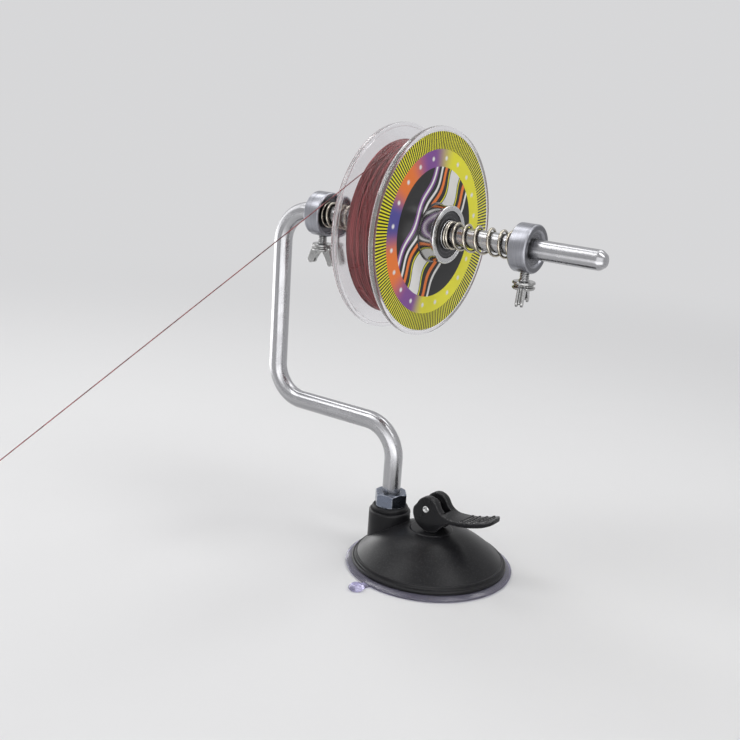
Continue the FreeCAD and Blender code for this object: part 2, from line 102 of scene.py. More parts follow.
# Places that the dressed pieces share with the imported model.
rod_low, rod_high = corners("arm_rod")
ROD_R = round((rod_high.y - rod_low.y) / 2, 4)
SPINDLE_Z = rod_high.z - ROD_R
UPRIGHT_X = rod_low.x + ROD_R
POST_X = round(centre("post_washer").x, 5)
washer_low, washer_high = corners("post_washer")
BOSS_TOP_Z = washer_low.z
PIN_Z = centre("lever_pin").z
SPOOL = Vector((centre("line_winding").x, 0, SPINDLE_Z))
flange_high, label_high = corners("right_spool_flange")[1], corners("spool_label")[1]
FLANGE_R, BEAD_FACE = flange_high.y, flange_high.x - SPOOL.x
LABEL_R, LABEL_FACE = label_high.y, label_high.x - SPOOL.x
HOUSING_R, PAD_R, CUP_R, WINDING_R, PIN_END = (corners(name)[1].y for name in (
    "base_housing", "suction_pad", "right_bearing_cup", "line_winding", "lever_pin"))

# Gaps and roundings that several pieces share.
SLIDE_GAP = 0.00004
EASE = 0.0003


# ---------------------------------------------------------------- sizes and colours


def size(name, description, default):
    return FloatProperty(
        name=name, description=description, default=default, min=0, unit="LENGTH", precision=5)


def colour(name, description, default):
    return FloatVectorProperty(
        name=name, description=description, default=(*default, 1), size=4, min=0, max=1,
        subtype="COLOR")


class ArmSizes(bpy.types.PropertyGroup):
    middle_z: size("Middle run", "Height of the level run below the spool", 0.05785)
    bend: size("Bend radius", "Radius of the rod's bends at its middle line", 0.015)
    taper: size("Tip taper", "Length of the tapered tip", 0.0026)
    steel: colour("Steel", "Plated rod", (0.46, 0.46, 0.475))


class BaseSizes(bpy.types.PropertyGroup):
    pad_top: size("Pad top", "Height of the pad's upper face at its rim", 0.0021)
    lip: size("Lip", "Height of the housing's outer lip", 0.0017)
    step: size("Step", "Height of the step inside the lip", 0.0014)
    step_r: size("Step radius", "Radius of the step", 0.0318)
    dome_r: size("Dome radius", "Radius of the dome where it meets the step", 0.0312)
    dome_top: size("Dome top", "Height of the dome under the lever", 0.0172)
    platform_h: size("Platform height", "How far the platform stands above the dome", 0.0004)
    platform_r: size("Platform radius", "Radius of the flat that the cam bears on", 0.0094)
    wall: size("Wall", "Thickness of the housing", 0.0024)
    boss_r: size("Boss radius", "Radius of the boss that carries the arm", 0.0092)
    boss_bore: size("Boss bore", "Radius of the seat of the threaded insert", 0.0055)
    tab: size("Tab", "Reach of the pull tab past the pad", 0.0086)
    knob_r: size("Knob radius", "Radius of the tab's knob", 0.0033)
    knob_h: size("Knob height", "Height of the tab's knob", 0.0026)
    tab_turn: FloatProperty(
        name="Tab turn", description="Direction of the pull tab", subtype="ANGLE",
        default=math.radians(258))
    black: colour("Housing", "Moulded housing", (0.007, 0.007, 0.0085))
    clear: colour("Pad", "Soft translucent pad", (0.66, 0.63, 0.86))


class LeverSizes(bpy.types.PropertyGroup):
    half_width: size("Half width", "Half of the lever's width", 0.0056)
    slot: size("Slot", "Half of the gap between the cheeks", 0.00225)
    crown_r: size("Crown radius", "Radius of the rounded cheek above the pin", 0.00555)
    crown_x: size("Crown centre", "Distance of the crown's centre from the pin", 0.0006)
    length: size("Length", "Reach of the thumb plate from the pin", 0.0313)
    thickness: size("Thickness", "Thickness of the thumb plate", 0.0022)
    low_x: size("Dish start", "Where the thumb plate's dish is lowest", 0.011)
    low: size("Dish depth", "How far below the pin the dish lies", 0.00125)
    rise: size("Rise", "How far the thumb plate rises to its tip", 0.0049)
    lift: size("Lift", "How far the cam lifts the pad", 0.0036)
    ribs: IntProperty(name="Ribs", description="Grip ribs on the plate", default=4, min=0)
    rib_pitch: size("Rib pitch", "Distance from rib to rib", 0.0034)


class FittingSizes(bpy.types.PropertyGroup):
    collar_r: size("Collar radius", "Radius of the stop collars", 0.0096)
    collar_w: size("Collar width", "Width of the stop collars", 0.008)
    hub_r: size("Screw hub radius", "Radius of the wing screw's flanged hub", 0.0047)
    hub_h: size("Screw hub height", "Height of the wing screw's hub", 0.0033)
    neck: size("Screw neck", "Bare length between the collar and the hub", 0.0033)
    span: size("Wing span", "Distance between the wings' tips", 0.015)
    drop: size("Wing drop", "How far the wings reach below the hub's top", 0.0094)
    wing_t: size("Wing thickness", "Width of a wing", 0.003)
    wire_r: size("Wire radius", "Radius of the springs' wire", 0.00055)
    coil_r: size("Coil radius", "Radius of the coils at the wire's middle", 0.0052)
    nut_zinc: colour("Nut", "Zinc plated nut", (0.20, 0.225, 0.285))
    plated: colour("Collar", "Plated collar", (0.37, 0.375, 0.41))
    cast: colour("Wing screw", "Cast and plated screw", (0.47, 0.47, 0.465))
    # The wire's warm tint is a painted reflection of the label on silver plating.
    wire: colour("Spring", "Plated wire", (0.52, 0.48, 0.41))


class SpoolSizes(bpy.types.PropertyGroup):
    width: size("Width", "Distance between the flanges' outer faces", 0.0196)
    flange_t: size("Flange", "Thickness of a flange", 0.0016)
    bead_w: size("Bead", "Width of the bead round the rim", 0.0013)
    core_r: size("Core radius", "Radius of the core under the winding", 0.020)
    line_d: size("Line diameter", "Diameter of the fishing line", 0.000405)
    crossings: IntProperty(
        name="Crossing strands", description="Slanted strands on the winding", default=34, min=0)
    clear: colour("Clear plastic", "Moulded flanges", (0.94, 0.93, 0.95))
    nylon: colour("Line", "Wine coloured nylon", (0.165, 0.032, 0.034))


class LabelColours(bpy.types.PropertyGroup):
    ground: colour("Ground", "Dark middle and ticks", (0.006, 0.006, 0.007))
    yellow: colour("Yellow", "Ticked border and sun band", (0.83, 0.78, 0.03))
    orange: colour("Orange", "Ring and ripples", (0.86, 0.20, 0.03))
    violet: colour("Violet", "Ring", (0.22, 0.07, 0.30))
    blue: colour("Blue", "Ring", (0.09, 0.08, 0.32))
    white: colour("White", "Broad wave and dots", (0.83, 0.82, 0.80))
    ticks: IntProperty(name="Ticks", description="Ticks round the border", default=184, min=8)
    turn: FloatProperty(
        name="Turn", description="Slant of the waves", subtype="ANGLE",
        default=math.radians(58))


class StageColours(bpy.types.PropertyGroup):
    floor: colour("Floor", "Pale floor", (0.78, 0.78, 0.78))
    backdrop: colour("Backdrop", "What stands behind the object", (0.68, 0.68, 0.69))
    room: colour("Room light", "Even light from all round", (0.34, 0.34, 0.35))
    fade_near: size("Fade from", "Where the floor starts to turn into the backdrop", 0.22)
    fade_far: size("Fade to", "Where the floor has turned into the backdrop", 0.75)


SETTINGS = {
    "winder_arm": ArmSizes, "winder_base": BaseSizes, "winder_lever": LeverSizes,
    "winder_fittings": FittingSizes, "winder_spool": SpoolSizes, "winder_label": LabelColours,
    "winder_stage": StageColours,
}


# ---------------------------------------------------------------- shapes


def new_piece(name, verts, faces, sharp=35):
    """Mesh object from points and faces, shaded smooth except along sharp edges."""
    mesh = bpy.data.meshes.new(name)
    mesh.from_pydata([tuple(v) for v in verts], [], faces)
    mesh.validate()
    work = bmesh.new()
    work.from_mesh(mesh)
    bmesh.ops.recalc_face_normals(work, faces=work.faces)
    work.to_mesh(mesh)
    work.free()
    piece = bpy.data.objects.new(name, mesh)
    bpy.context.scene.collection.objects.link(piece)
    shade(piece, sharp)
    return piece


def shade(piece, sharp=35):
    piece.data.shade_smooth()
    piece.data.set_sharp_from_angle(angle=math.radians(sharp))


def settle(piece, sharp=35):
    """Turn a piece's modifiers into its mesh."""
    bpy.context.view_layer.update()
    shown = piece.evaluated_get(bpy.context.evaluated_depsgraph_get())
    mesh = bpy.data.meshes.new_from_object(shown)
    piece.modifiers.clear()
    piece.data = mesh
    shade(piece, sharp)
    return piece


def combine(piece, other, operation):
    """Join, cut or cross a piece with another one, which is used up."""
    modifier = piece.modifiers.new(operation.lower(), "BOOLEAN")
    modifier.operation = operation
    modifier.solver = "EXACT"
    modifier.object = other
    settle(piece)
    bpy.data.objects.remove(other)
    return piece


def soften(piece, width, segments=3, sharp=35, angle=30):
    """Round a piece's edges."""
    modifier = piece.modifiers.new("round", "BEVEL")
    modifier.width = width
    modifier.segments = segments
    modifier.limit_method = "ANGLE"
    modifier.angle_limit = math.radians(angle)
    modifier.harden_normals = False
    return settle(piece, sharp)


def join(pieces):
    """Put several pieces into the first one's mesh."""
    first = pieces[0]
    work = bmesh.new()
    for piece in pieces:
        piece.data.transform(piece.matrix_world)
        work.from_mesh(piece.data)
    work.to_mesh(first.data)
    work.free()
    for piece in pieces[1:]:
        bpy.data.objects.remove(piece)
    return first


def eased(points, radius, closed=True, steps=3):
    """The same outline with each corner rounded by up to a radius."""
    points = [Vector(p) for p in points]
    count = len(points)
    result = []
    for i, corner in enumerate(points):
        if not closed and i in (0, count - 1):
            result.append(corner)
            continue
        before, after = points[i - 1] - corner, points[(i + 1) % count] - corner
        reach_in = min(radius / before.length, 0.45)
        reach_out = min(radius / after.length, 0.45)
        start, end = corner + before * reach_in, corner + after * reach_out
        for step in range(steps + 1):
            t = step / steps
            result.append(start * (1 - t) ** 2 + corner * 2 * t * (1 - t) + end * t ** 2)
    return result


def turned(name, profile, at, axis=X, steps=144, closed=True, sharp=35):
    """Surface of revolution from (along, radius) points about an axis through a point."""
    side = axis.orthogonal().normalized()
    other = axis.cross(side)
    verts, rings = [], []
    for along, radius in profile:
        base = at + axis * along
        if radius < 1e-7:
            rings.append([len(verts)] * steps)
            verts.append(base)
            continue
        rings.append(list(range(len(verts), len(verts) + steps)))
        for i in range(steps):
            angle = FULL_TURN * i / steps
            verts.append(base + (side * math.cos(angle) + other * math.sin(angle)) * radius)
    faces = []
    pairs = list(zip(rings, rings[1:])) + ([(rings[-1], rings[0])] if closed else [])
    for low, high in pairs:
        for i in range(steps):
            k = (i + 1) % steps
            face = list(dict.fromkeys([low[i], low[k], high[k], high[i]]))
            if len(face) > 2:
                faces.append(face)
    return new_piece(name, verts, faces, sharp)


def swept(name, path, radii, around=24, sharp=35, loop=False):
    """Round bar along a path, with one radius or one for each point."""
    count = len(path)
    if not hasattr(radii, "__len__"):
        radii = [radii] * count
    verts, faces = [], []
    normal = None
    for i, point in enumerate(path):
        ahead = path[(i + 1) % count] if loop or i < count - 1 else point
        behind = path[i - 1] if loop or i > 0 else point
        tangent = (ahead - behind).normalized()
        if normal is None:
            normal = tangent.orthogonal().normalized()
        normal = (normal - tangent * normal.dot(tangent)).normalized()
        other = tangent.cross(normal)
        for k in range(around):
            angle = FULL_TURN * k / around
            verts.append(point + (normal * math.cos(angle) + other * math.sin(angle)) * radii[i])
    spans = count if loop else count - 1
    for i in range(spans):
        row, after = i * around, ((i + 1) % count) * around
        for k in range(around):
            n = (k + 1) % around
            faces.append([row + k, row + n, after + n, after + k])
    if not loop:
        faces.append(list(range(around))[::-1])
        faces.append(list(range((count - 1) * around, count * around)))
    return new_piece(name, verts, faces, sharp)


def slab(name, outline, y_low, y_high, sharp=35):
    """Plate with an (x, z) outline between two planes of constant y."""
    count = len(outline)
    verts = [Vector((x, y, z)) for y in (y_low, y_high) for x, z in outline]
    faces = [list(range(count)), list(range(count, 2 * count))]
    faces += [[i, (i + 1) % count, count + (i + 1) % count, count + i] for i in range(count)]
    return new_piece(name, verts, faces, sharp)


def plate(name, outline, z_low, z_high, sharp=35):
    """Plate with an (x, y) outline between two heights."""
    piece = slab(name, outline, z_low, z_high, sharp)
    piece.data.transform(Matrix(((1, 0, 0, 0), (0, 0, 1, 0), (0, 1, 0, 0), (0, 0, 0, 1))))
    piece.data.flip_normals()
    return piece


def arc(centre_x, centre_z, radius, start, end, steps):
    """Points of a round stretch, between two angles in degrees."""
    angles = [math.radians(start + (end - start) * i / steps) for i in range(steps + 1)]
    return [(centre_x + radius * math.cos(a), centre_z + radius * math.sin(a)) for a in angles]


def curve_between(values, place):
    """Smooth run through evenly spaced values."""
    last = len(values) - 1
    i = min(int(place), last - 1)
    t = place - i
    before, start, end, after = (values[max(0, min(last, i + k))] for k in (-1, 0, 1, 2))
    pull_in, pull_out = (end - before) / 2, (after - start) / 2
    return ((2 * t ** 3 - 3 * t ** 2 + 1) * start + (t ** 3 - 2 * t ** 2 + t) * pull_in
            + (3 * t ** 2 - 2 * t ** 3) * end + (t ** 3 - t ** 2) * pull_out)


def dress(piece, body, finish, *nodes):
    """Give a piece its finish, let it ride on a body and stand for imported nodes."""
    piece.data.materials.clear()
    piece.data.materials.append(bpy.data.materials[finish])
    if body:
        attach(piece, body)
    if nodes:
        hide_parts(*nodes)
    return piece


# ---------------------------------------------------------------- shader parts


def feed(tree, socket, value):
    if isinstance(value, bpy.types.NodeSocket):
        tree.links.new(value, socket)
    else:
        socket.default_value = value


def node(tree, kind, **settings):
    made = tree.nodes.new("ShaderNode" + kind)
    for name, value in settings.items():
        setattr(made, name, value)
    return made


def calc(tree, operation, *values):
    made = node(tree, "Math", operation=operation)
    for socket, value in zip(made.inputs, values):
        feed(tree, socket, value)
    return made.outputs[0]


def ramp(tree, value, low, high):
    """0 below low, 1 above high, smooth between."""
    made = node(tree, "MapRange", interpolation_type="SMOOTHSTEP")
    feed(tree, made.inputs["Value"], value)
    made.inputs["From Min"].default_value = low
    made.inputs["From Max"].default_value = high
    return made.outputs["Result"]


def blend_colours(tree, share, first, second):
    made = node(tree, "Mix", data_type="RGBA")
    feed(tree, made.inputs["Factor"], share)
    for socket, value in zip(made.inputs[6:8], (first, second)):
        feed(tree, socket, value)
    return made.outputs[2]


def blend_values(tree, share, first, second):
    made = node(tree, "Mix", data_type="FLOAT")
    feed(tree, made.inputs["Factor"], share)
    feed(tree, made.inputs["A"], first)
    feed(tree, made.inputs["B"], second)
    return made.outputs["Result"]


def noise(tree, vector, scale, detail=3.0, roughness=0.55):
    made = node(tree, "TexNoise")
    feed(tree, made.inputs["Vector"], vector)
    feed(tree, made.inputs["Scale"], scale)
    made.inputs["Detail"].default_value = detail
    made.inputs["Roughness"].default_value = roughness
    return made.outputs["Fac"]


def part_coords(tree):
    return node(tree, "TexCoord").outputs["Object"]


def new_group(name, inputs, outputs):
    """Empty effect: a node tree with named number inputs and named outputs."""
    tree = bpy.data.node_groups.new(name, "ShaderNodeTree")
    for label, value in inputs.items():
        socket = tree.interface.new_socket(label, in_out="INPUT", socket_type="NodeSocketFloat")
        socket.default_value = value
    for label, kind in outputs.items():
        tree.interface.new_socket(label, in_out="OUTPUT", socket_type="NodeSocket" + kind)
    return tree, tree.nodes.new("NodeGroupInput").outputs, tree.nodes.new("NodeGroupOutput").inputs


def edge_wear_and_highlight():
    """Mask of rubbed outer edges and painted edge highlights, broken up by noise."""
    tree, given, out = new_group(
        "Edge Wear And Highlight", {"Radius": 0.0005, "Contrast": 9.0, "Scale": 900.0}, {"Mask": "Float"})
    rounded = node(tree, "Bevel", samples=6)
    feed(tree, rounded.inputs["Radius"], given["Radius"])
    facing = node(tree, "VectorMath", operation="DOT_PRODUCT")
    tree.links.new(rounded.outputs[0], facing.inputs[0])
    tree.links.new(node(tree, "NewGeometry").outputs["Normal"], facing.inputs[1])
    turned_away = calc(tree, "SUBTRACT", 1.0, facing.outputs["Value"])
    edge = calc(tree, "MULTIPLY", turned_away, given["Contrast"])
    broken = ramp(tree, noise(tree, part_coords(tree), given["Scale"]), 0.3, 0.7)
    feed(tree, out["Mask"], calc(tree, "MINIMUM", calc(tree, "MULTIPLY", edge, broken), 1.0))


def recesses():
    """Mask of grooves and hollows, where light doesn't reach: painted shade."""
    tree, given, out = new_group(
        "Recess Shade", {"Depth": 0.003, "Open": 0.85, "Shut": 0.35}, {"Mask": "Float"})
    hollow = node(tree, "AmbientOcclusion", samples=8)
    feed(tree, hollow.inputs["Distance"], given["Depth"])
    span = node(tree, "MapRange", interpolation_type="SMOOTHSTEP")
    feed(tree, span.inputs["Value"], hollow.outputs["AO"])
    feed(tree, span.inputs["From Min"], given["Open"])
    feed(tree, span.inputs["From Max"], given["Shut"])
    feed(tree, out["Mask"], span.outputs["Result"])


def dust():
    """Mask of fine dust on what faces up."""
    tree, given, out = new_group("Dust", {"Scale": 400.0, "Amount": 0.5}, {"Mask": "Float"})
    split = node(tree, "SeparateXYZ")
    tree.links.new(node(tree, "NewGeometry").outputs["Normal"], split.inputs[0])
    up = ramp(tree, split.outputs["Z"], 0.1, 0.9)
    specks = ramp(tree, noise(tree, part_coords(tree), given["Scale"], 6.0), 0.45, 0.8)
    lying = calc(tree, "MULTIPLY", up, specks)
    feed(tree, out["Mask"], calc(tree, "MULTIPLY", lying, given["Amount"]))


def grain():
    """Fine moulded or blasted texture."""
    tree, given, out = new_group(
        "Grain", {"Scale": 2500.0, "Softness": 0.5}, {"Height": "Float", "Tone": "Float"})
    fine = noise(tree, part_coords(tree), given["Scale"], 4.0)
    coarse = noise(tree, part_coords(tree), calc(tree, "MULTIPLY", given["Scale"], 0.13), 2.0)
    feed(tree, out["Height"], blend_values(tree, given["Softness"], fine, coarse))
    feed(tree, out["Tone"], coarse)


def smudges():
    """Broad uneven patches, as of handling."""
    tree, given, out = new_group("Smudges", {"Scale": 60.0}, {"Mask": "Float"})
    warped = node(tree, "VectorMath", operation="ADD")
    tree.links.new(part_coords(tree), warped.inputs[0])
    warp, warp_scale = 0.01, 90.0
    shift = node(tree, "VectorMath", operation="SCALE")
    shift.inputs["Scale"].default_value = warp
    source = node(tree, "TexNoise")
    source.inputs["Scale"].default_value = warp_scale
    tree.links.new(part_coords(tree), source.inputs["Vector"])
    tree.links.new(source.outputs["Color"], shift.inputs[0])
    tree.links.new(shift.outputs[0], warped.inputs[1])
    patches = noise(tree, warped.outputs[0], given["Scale"], 5.0, 0.6)
    feed(tree, out["Mask"], ramp(tree, patches, 0.35, 0.7))


def polar():
    """Place on the spool's face: turn from 0 to 1, distance from the spindle, and along it."""
    tree, given, out = new_group(
        "Polar", {"Centre Z": SPINDLE_Z}, {"Turn": "Float", "Radius": "Float", "Along": "Float"})
    split = node(tree, "SeparateXYZ")
    tree.links.new(part_coords(tree), split.inputs[0])
    z = calc(tree, "SUBTRACT", split.outputs["Z"], given["Centre Z"])
    y = split.outputs["Y"]
    turn = calc(tree, "DIVIDE", calc(tree, "ARCTAN2", z, y), FULL_TURN)
    feed(tree, out["Turn"], calc(tree, "FRACT", turn))
    squares = calc(tree, "ADD", calc(tree, "MULTIPLY", y, y), calc(tree, "MULTIPLY", z, z))
    feed(tree, out["Radius"], calc(tree, "SQRT", squares))
    feed(tree, out["Along"], split.outputs["X"])


def turned_rings():
    """Fine tool marks round the spindle, on faces and on sides."""
    tree, given, out = new_group(
        "Turned Rings", {"Marks": 5000.0, "Centre Z": SPINDLE_Z}, {"Height": "Float", "Tone": "Float"})
    place = node(tree, "Group", node_tree=bpy.data.node_groups["Polar"])
    feed(tree, place.inputs["Centre Z"], given["Centre Z"])
    run = calc(tree, "ADD", place.outputs["Radius"], place.outputs["Along"])
    spread = node(tree, "CombineXYZ")
    feed(tree, spread.inputs["X"], calc(tree, "MULTIPLY", run, given["Marks"]))
    feed(tree, spread.inputs["Y"], calc(tree, "MULTIPLY", place.outputs["Turn"], 2.0))
    lines = noise(tree, spread.outputs[0], 1.0, 5.0, 0.7)
    feed(tree, out["Height"], lines)
    feed(tree, out["Tone"], ramp(tree, lines, 0.35, 0.65))


def drawn_lines():
    """Long streaks along a drawn bar, from the distance round it and along it."""
    tree, given, out = new_group(
        "Drawn Lines", {"Round": 900.0, "Along": 18.0}, {"Height": "Float", "Tone": "Float"})
    split = node(tree, "SeparateXYZ")
    tree.links.new(node(tree, "UVMap", uv_map="Run").outputs[0], split.inputs[0])
    spread = node(tree, "CombineXYZ")
    feed(tree, spread.inputs["X"], calc(tree, "MULTIPLY", split.outputs["X"], given["Round"]))
    feed(tree, spread.inputs["Y"], calc(tree, "MULTIPLY", split.outputs["Y"], given["Along"]))
    streaks = noise(tree, spread.outputs[0], 1.0, 5.0, 0.6)
    feed(tree, out["Height"], streaks)
    feed(tree, out["Tone"], ramp(tree, streaks, 0.35, 0.68))


EFFECTS = (edge_wear_and_highlight, recesses, dust, grain, smudges, polar, turned_rings, drawn_lines)


# ---------------------------------------------------------------- finishes


class Finish:
    """A material in the making: its tree, its shader and short ways to feed it."""

    def __init__(self, name, metal=0.0, rough=0.4):
        plain = bpy.data.materials.get(name)
        if plain:
            plain.name = "plain_" + name
        self.material = bpy.data.materials.new(name)
        self.material.use_nodes = True
        self.tree = self.material.node_tree
        self.shader = self.tree.nodes["Principled BSDF"]
        self.shader.inputs["Metallic"].default_value = metal
        self.shader.inputs["Roughness"].default_value = rough

    def effect(self, name, **values):
        made = node(self.tree, "Group", node_tree=bpy.data.node_groups[name])
        for label, value in values.items():
            feed(self.tree, made.inputs[label.replace("_", " ")], value)
        return made.outputs

    def tone(self, share, first, second):
        return blend_colours(self.tree, share, first, second)

    def set(self, **sockets):
        for label, value in sockets.items():
            feed(self.tree, self.shader.inputs[label.replace("_", " ")], value)

    def rough(self, share, low, high):
        self.set(Roughness=blend_values(self.tree, share, low, high))

    def stretch_gloss(self, uv_map, amount):
        """Stretch reflections along a mapped bar, as fine rings round it do."""
        tangent = node(self.tree, "Tangent", direction_type="UV_MAP", uv_map=uv_map)
        feed(self.tree, self.shader.inputs["Tangent"], tangent.outputs[0])
        self.set(Anisotropic=amount, Anisotropic_Rotation=0.25)

    def bump(self, height, depth, strength=1.0):
        made = node(self.tree, "Bump")
        made.inputs["Strength"].default_value = strength
        made.inputs["Distance"].default_value = depth
        feed(self.tree, made.inputs["Height"], height)
        feed(self.tree, self.shader.inputs["Normal"], made.outputs[0])


def darker(shade_of, factor):
    return (*[value * factor for value in shade_of[:3]], 1)


def lighter(shade_of, step):
    return (*[min(1, value + step) for value in shade_of[:3]], 1)


def moulded(name, base, rough, wear_and_highlight, edge=0.0005):
    """Satin moulded plastic: fine grain, rubbed edges with painted highlights on them, a little dust."""
    finish = Finish(name)
    texture = finish.effect("Grain", Scale=2600.0, Softness=0.35)
    patches = finish.effect("Smudges", Scale=45.0)["Mask"]
    worn_and_lit = finish.effect("Edge Wear And Highlight", Radius=edge, Contrast=12.0)["Mask"]
    lint = finish.effect("Dust", Scale=1600.0, Amount=0.35)["Mask"]
    body = finish.tone(texture["Tone"], darker(base, 0.85), lighter(base, 0.006))
    # Lighter edges: rubbed plastic, and painted highlights along them.
    body = finish.tone(worn_and_lit, body, lighter(base, wear_and_highlight))
    finish.set(Base_Color=finish.tone(lint, body, lighter(base, 0.05)), Specular_IOR_Level=0.2)
    finish.rough(patches, rough, rough + 0.1)
    finish.bump(texture["Height"], 0.00003, 0.6)


def plated(name, base, rough, streaks, edge=0.00035, marked=0.84, painted_end_shade=1.0):
    """Bright plated metal, marked by its streak or ring effect, its ends along the spindle painted
    darker as painted shade.
    """
    effect, values = streaks
    finish = Finish(name, metal=1.0)
    marks = finish.effect(effect, **values)
    patches = finish.effect("Smudges", Scale=120.0)["Mask"]
    worn_and_lit = finish.effect("Edge Wear And Highlight", Radius=edge, Contrast=12.0)["Mask"]
    hollow = finish.effect("Recess Shade")["Mask"]
    body = finish.tone(marks["Tone"], darker(base, marked), base)
    if painted_end_shade < 1:
        # How squarely a face looks along the spindle.
        split = node(finish.tree, "SeparateXYZ")
        feed(finish.tree, split.inputs[0], node(finish.tree, "TexCoord").outputs["Normal"])
        end = ramp(finish.tree, calc(finish.tree, "ABSOLUTE", split.outputs["X"]), 0.80, 0.97)
        # Painted shade: faces that look along the spindle are painted darker.
        body = finish.tone(end, body, darker(base, painted_end_shade))
    # Painted shade in grooves and hollows.
    body = finish.tone(hollow, body, darker(base, 0.20))
    # Lighter edges: rubbed metal, and painted highlights along the chamfers and rims.
    finish.set(Base_Color=finish.tone(worn_and_lit, body, lighter(base, 0.40)))
    gloss = blend_values(finish.tree, patches, rough, rough + 0.1)
    finish.rough(worn_and_lit, gloss, 0.5)
    finish.bump(marks["Height"], 0.000015, 0.5)
    return finish


def cast_metal(name, base):
    finish = Finish(name, metal=1.0)
    texture = finish.effect("Grain", Scale=900.0, Softness=0.55)
    worn_and_lit = finish.effect("Edge Wear And Highlight", Radius=0.0004, Contrast=8.0)["Mask"]
    hollow = finish.effect("Recess Shade", Depth=0.002)["Mask"]
    body = finish.tone(texture["Tone"], darker(base, 0.6), base)
    # Painted shade in grooves and hollows.
    body = finish.tone(hollow, body, darker(base, 0.28))
    # Lighter edges: rubbed metal, and painted highlights along them.
    finish.set(Base_Color=finish.tone(worn_and_lit, body, lighter(base, 0.3)))
    finish.rough(texture["Tone"], 0.12, 0.26)
    finish.bump(texture["Height"], 0.0001, 0.8)


def clear_plastic(name, base):
    finish = Finish(name, rough=0.05)
    texture = finish.effect("Grain", Scale=300.0, Softness=0.9)
    patches = finish.effect("Smudges", Scale=70.0)["Mask"]
    finish.set(Base_Color=finish.tone(patches, base, darker(base, 0.97)), Transmission_Weight=1.0,
               IOR=1.49)
    finish.rough(patches, 0.05, 0.12)
    finish.bump(texture["Height"], 0.00001, 0.15)
    # Stands in for the light that is trapped in the plastic and leaves it through the rim:
    # what a ray meets after several bounces glows a little.
    depth = node(finish.tree, "LightPath").outputs["Ray Depth"]
    far = calc(finish.tree, "GREATER_THAN", depth, 3.5)
    glow = finish.tone(far, (0, 0, 0, 1), darker(base, 0.14))
    finish.set(Emission_Color=glow, Emission_Strength=1.0)


def soft_pad(name, base):
    finish = Finish(name)
    patches = finish.effect("Smudges", Scale=70.0)["Mask"]
    texture = finish.effect("Grain", Scale=1200.0, Softness=0.6)
    finish.set(Base_Color=finish.tone(patches, base, lighter(base, 0.12)), Transmission_Weight=0.85,
               IOR=1.45)
    finish.rough(patches, 0.10, 0.20)
    finish.bump(texture["Height"], 0.00005, 0.4)


def nylon_line(name, base):
    finish = Finish(name)
    place = finish.effect("Polar")
    texture = finish.effect("Grain", Scale=1500.0, Softness=0.7)
    spread = node(finish.tree, "CombineXYZ")
    feed(finish.tree, spread.inputs["X"], calc(finish.tree, "MULTIPLY", place["Along"], 1300.0))
    feed(finish.tree, spread.inputs["Y"], calc(finish.tree, "MULTIPLY", place["Turn"], 7.0))
    strands = ramp(finish.tree, noise(finish.tree, spread.outputs[0], 1.0, 3.0), 0.3, 0.7)
    # Painted light and shade: streaks of a lit and a shaded copy of the line's colour.
    shaded, lit = darker(base, 0.3), lighter(darker(base, 2.0), 0.015)
    finish.set(Base_Color=finish.tone(strands, shaded, lit), Specular_IOR_Level=0.45,
               Coat_Weight=0.1, Coat_Roughness=0.12)
    finish.rough(texture["Tone"], 0.24, 0.34)
    finish.bump(texture["Height"], 0.00002, 0.3)


def wave_mask(finish, across, along, height, swing, wave, half, soft=0.00012):
    """Mask of a wavy stripe that runs along a direction at some height across it."""
    tree = finish.tree
    phase = calc(tree, "MULTIPLY", along, FULL_TURN / wave)
    ripple = calc(tree, "MULTIPLY", calc(tree, "SINE", phase), swing)
    above = calc(tree, "SUBTRACT", across, height)
    off = calc(tree, "ABSOLUTE", calc(tree, "SUBTRACT", above, ripple))
    return calc(tree, "SUBTRACT", 1.0, ramp(tree, off, half - soft, half + soft))


RING_IN, RING_OUT = 0.0265, 0.0335
RING_MIDDLE = (RING_IN + RING_OUT) / 2
RING_TURN = 0.11
RING_BEADS = 20
# Start and end of each change of colour round the ring, in shares of a turn.
RING_SHADES = (
    (0.30, 0.38, "violet"), (0.40, 0.47, "orange"), (0.50, 0.56, "blue"), (0.59, 0.65, "orange"),
    (0.69, 0.76, "violet"), (0.79, 0.84, "yellow"),
)
WAVE_LENGTH = 0.021
# Height across the waves, swing and half width of each wavy stripe, the later ones on top.
MIDDLE_WAVES = (
    (0.0, 0.0016, 0.0048, "yellow"), (0.0, 0.0016, 0.0041, "ground"), (0.0, 0.0016, 0.0036, "white"),
    (0.0078, 0.0012, 0.0009, "orange"), (0.0108, 0.0012, 0.0007, "white"),
    (0.0150, 0.0009, 0.0016, "violet"), (0.0150, 0.0009, 0.0006, "white"),
    (-0.0083, 0.0012, 0.0010, "orange"), (-0.0118, 0.0010, 0.0007, "white"),
)


